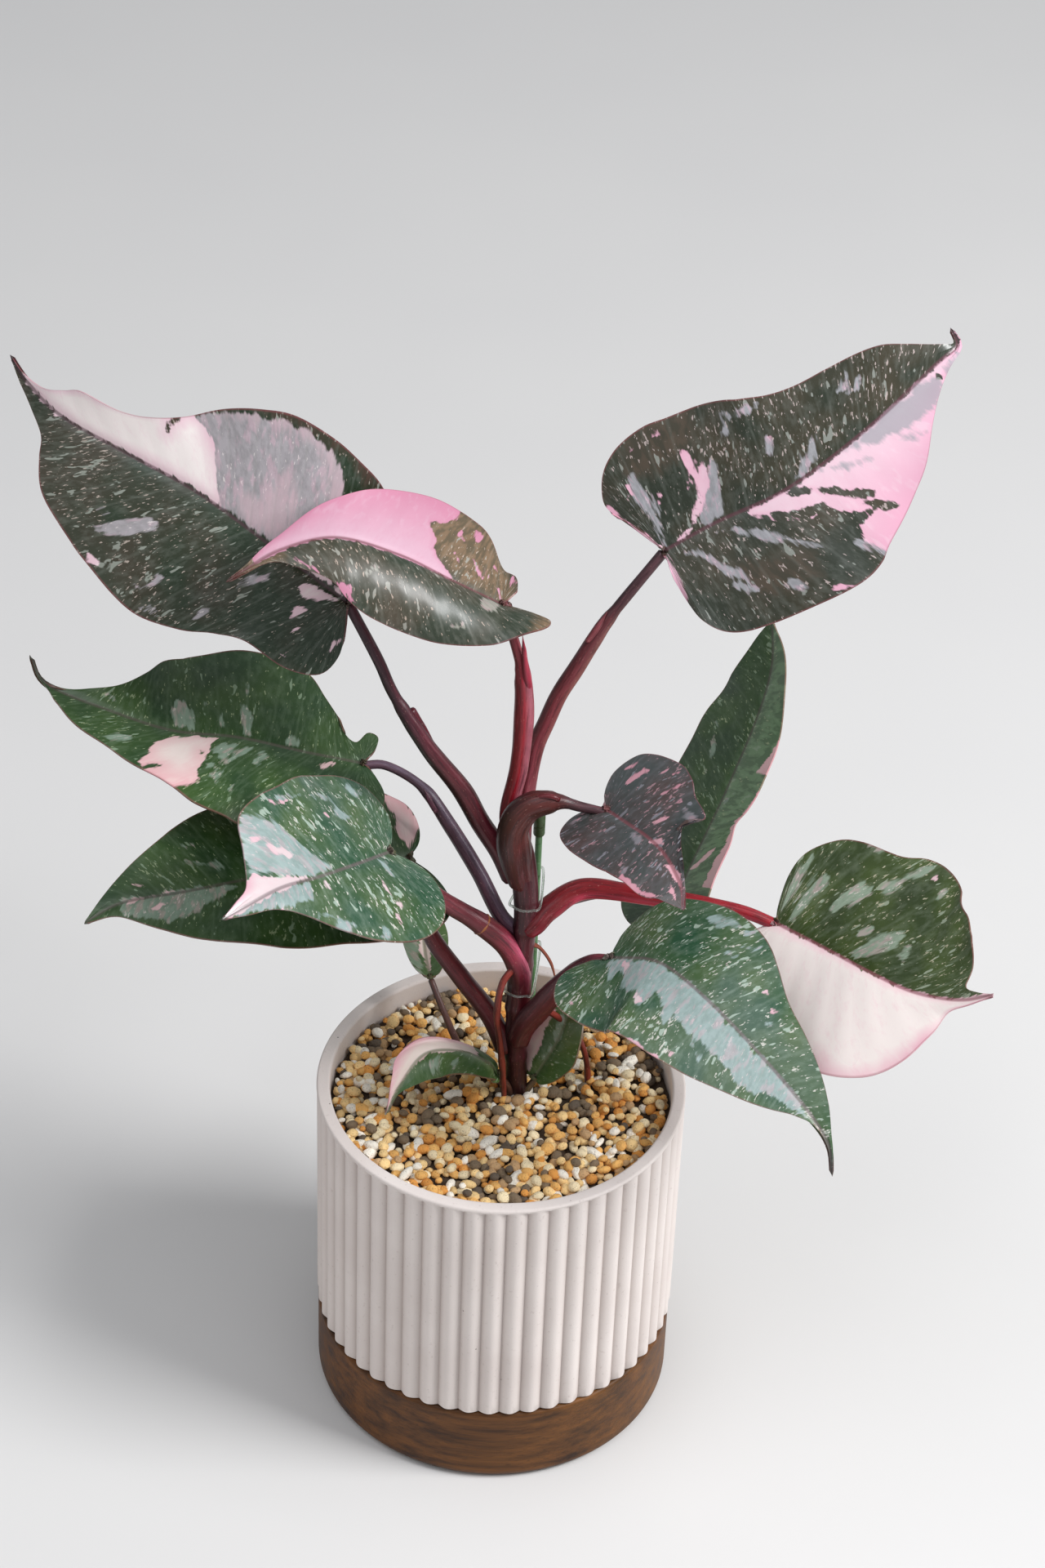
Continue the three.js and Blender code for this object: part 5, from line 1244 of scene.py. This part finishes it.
scattered = [bed]
spots = []
rows = int(mix["reach"] / mix["spacing"])
for layer, i, j in itertools.product(range(mix["layers"]), *[range(-rows, rows + 1)] * 2):
    x = (i + 0.5 * (j % 2) + rng.uniform(-mix["jitter"], mix["jitter"]) + 0.5 * layer) * mix["spacing"]
    y = (j + rng.uniform(-mix["jitter"], mix["jitter"]) + 0.3 * layer) * mix["spacing"] * mix["rowSpacing"]
    size = rng.uniform(*mix["size"]) * (mix["bigger"] if rng.random() < mix["bigShare"] else 1)
    if math.hypot(x, y) > mix["reach"] - size * 0.5 or (layer and rng.random() < mix["upperGaps"]):
        continue
    spots.append((x, y, layer, size, rng.random()))
spots.append(mix["bark"])
for k in range(mix["small"]):  # small ones fill the corner by the wall
    turn = rng.uniform(0, 2 * math.pi)
    size = rng.uniform(*mix["smallSize"])
    ring = mix["reach"] - size * rng.uniform(0.45, 1.1)
    spots.append((ring * math.cos(turn), ring * math.sin(turn), rng.choice((0, 1)), size, rng.random()))
for x, y, layer, size, pick in spots:
    clump = math.sin(x / 8 + 1.3) * math.sin(y / 9.5 - 0.7) + 0.3 * math.sin((x + y) / 3.7)
    if clump > 0.86 and size < 9:
        pick = 0.8 + 0.2 * pick
    total = 0
    for share, toneHex in mix["tones"]:
        total += share
        if pick <= total:
            break
    nugget = rng.choice(nuggets)
    copy = nugget.copy()
    copy.data = nugget.data.copy()
    bpy.context.collection.objects.link(copy)
    long = rng.uniform(1.3, 2.1) if pick < 0.06 else rng.uniform(0.85, 1.25)
    stretch = Matrix.Diagonal((size * long, size * rng.uniform(0.75, 1), size * rng.uniform(0.55, 0.85), 1))
    turn = Matrix.Rotation(rng.uniform(0, 6.28), 4, "Z") @ Matrix.Rotation(rng.uniform(-0.5, 0.5), 4, "X")
    z = mix["bedTop"] + size * 0.2 + layer * mix["layerHeight"] + rng.uniform(-0.4, 0.5)
    z = min(z, mix["topLimit"] - size * 0.42)
    copy.data.transform(Matrix.Scale(mm, 4) @ Matrix.Translation((x, y, z)) @ turn @ stretch)
    copy.matrix_world = Matrix.Identity(4)
    tone = np.array(linear(toneHex)[:3]) * rng.uniform(*mix["shades"])
    copy.data.attributes["tone"].data.foreach_set("vector", np.tile(tone, len(copy.data.vertices)))
    scattered.append(copy)
pickNothing()
for nugget in nuggets:
    nugget.select_set(True)
bpy.ops.object.delete()

# Pumice, fired clay and bark, crushed and sieved: dusty and porous, each granule of one colour.
gravel, tree, shader = newMaterial("crushed planting mix")
spot = addNode(tree, "TexCoord").outputs["Object"]
tone = addNode(tree, "Attribute", attribute_name="tone").outputs["Color"]
blotch = addNode(tree, "TexNoise", {"Vector": spot, "Scale": 380.0, "Detail": 3.0})
holes = addNode(tree, "TexVoronoi", {"Vector": spot, "Scale": 1100.0})
stained = paintOver(tree, tone, ("#6b5138", 0.5))
# The pores are painted dark, as painted shade inside them.
feed(tree, shader, {
    "Base Color": paintOver(tree, tone, (stained, blotch, 0.45, 0.7, 0.4), ("#3a2c20", holes, 0.3, 0.1, 0.5)),
    "Normal": addNode(tree, "Bump", {"Strength": 0.6, "Distance": 0.0004, "Height": addNode(
        tree, "Math", {0: holes, 1: blotch}, operation="ADD")}),
    "Roughness": 0.95})
finishPiece(joinPieces("planting_mix", scattered), gravel, mix["smoothAngle"], "substrate", "substrate")
print("planting mix", len(spots), "granules")


# Stake and clips

stake = {
    "place": (10, 25), "radius": 1.25, "foot": 70, "capRadius": 2.1, "capRound": 1.6, "capFoot": 236,
    "top": 246, "columns": 24, "smoothAngle": 50,
}
stakeProfile = (
    [(0, stake["foot"]), (stake["radius"] - 0.5, stake["foot"])]
    + [(stake["radius"], h) for h in np.linspace(stake["foot"] + 0.5, stake["capFoot"] - 0.4, 40)]
    + [(stake["capRadius"] - 0.2, stake["capFoot"]), (stake["capRadius"], stake["capFoot"] + 0.5),
       (stake["capRadius"], stake["top"] - 2)]
    + arc(stake["capRadius"] - stake["capRound"], stake["top"] - stake["capRound"], stake["capRound"], 0, 90)
    + [(0, stake["top"])])
stakePiece = rollProfile("green_stake", stakeProfile, stake["columns"])
stakePiece.data.transform(Matrix.Translation((stake["place"][0] * mm, stake["place"][1] * mm, 0)))
# Steel wire in a sleeve of extruded green PVC: satin, with shallow bamboo-like rings.
sleeve, tree, shader = newMaterial("extruded green plastic sleeve")
spot = addNode(tree, "TexCoord").outputs["Object"]
height = addNode(tree, "SeparateXYZ", {0: spot}).outputs["Z"]
worn = addNode(tree, "TexNoise", {"Vector": spot, "Scale": 260.0, "Detail": 3.0})
capFoot = stake["capFoot"] * mm
ringed = addNode(tree, "Math", {0: height, 1: 0.004}, operation="PINGPONG")
feed(tree, shader, {
    "Base Color": paintOver(tree, "#5f8a5c", ("#3f5530", height, (stake["capFoot"] - 1.5) * mm, capFoot),
                            ("#8aa884", worn, 0.5, 0.75, 0.5)),
    "Normal": addNode(tree, "Bump", {"Strength": 0.4, "Distance": 0.0004, "Height": addNode(
        tree, "MapRange", {"Value": ringed, "From Max": 0.0006})}),
    "Roughness": 0.4})
finishPiece(stakePiece, sleeve, stake["smoothAngle"], "green_wire", "plant_stake")

clipWire = {"radius": 0.45, "clearance": 0.5, "sides": 14, "rows": 96, "smoothAngle": 60}
clips = {
    "stake_clip_upper": {"stemPlace": (6.4, 10.2), "stemReach": 5.5, "heights": (217, 219)},
    "stake_clip_lower": {"stemPlace": (5.2, 7.8), "stemReach": 5.5, "heights": (179, 184)},
}
# Clear moulded plastic, milky from handling.
clear, tree, shader = newMaterial("moulded clear plastic")
spot = addNode(tree, "TexCoord").outputs["Object"]
scuffs = addNode(tree, "TexNoise", {"Vector": spot, "Scale": 500.0, "Detail": 2.0})
feed(tree, shader, {
    "Base Color": paintOver(tree, "#e9efe8", ("#cfd8d0", scuffs)),
    "Roughness": addNode(tree, "MapRange", {"Value": scuffs, "To Min": 0.12, "To Max": 0.34}),
    "Transmission Weight": 0.92,
    "IOR": 1.47})
for clipName, clip in clips.items():
    away = np.array(stake["place"], dtype=float) - np.array(clip["stemPlace"])
    heading = math.degrees(math.atan2(away[1], away[0]))
    stakeReach = stake["radius"] + clipWire["clearance"] + clipWire["radius"]
    loop = []
    for centre, reach, turns, level in ((clip["stemPlace"], clip["stemReach"], (100, 140, 180, 220, 260),
                                         clip["heights"][0]),
                                        (stake["place"], stakeReach, (-80, 0, 80), clip["heights"][1])):
        for turn in turns:
            a = math.radians(heading + turn)
            loop.append((centre[0] + reach * math.cos(a), centre[1] + reach * math.sin(a), level))
    wrapped = loop[-3:] + loop + loop[:3]
    span = len(wrapped) - 1
    u = (3 + np.linspace(0, 1, clipWire["rows"] + 1) * len(loop)) / span
    path = catmullRom(wrapped, u)
    ahead = unit(catmullRom(wrapped, u + 0.001) - catmullRom(wrapped, u - 0.001))
    piece = addGrid(clipName.replace("stake_clip", "clear_clip"), clipWire["sides"], clipWire["rows"])
    grid = points(piece.data)
    ring = np.round((grid[:, 1] + 0.5) * clipWire["rows"]).astype(int)
    angle = grid[:, 0] * 2 * math.pi
    side = unit(np.cross(ahead, [0, 0, 1]))
    over = np.cross(side, ahead)
    setPoints(piece.data, aroundPath(path, side, over, ring, angle, clipWire["radius"]) * mm)
    mergeDoubles(piece, outward=True)
    finishPiece(piece, clear, clipWire["smoothAngle"], "clear_plastic", clipName)
print("stake and clips")
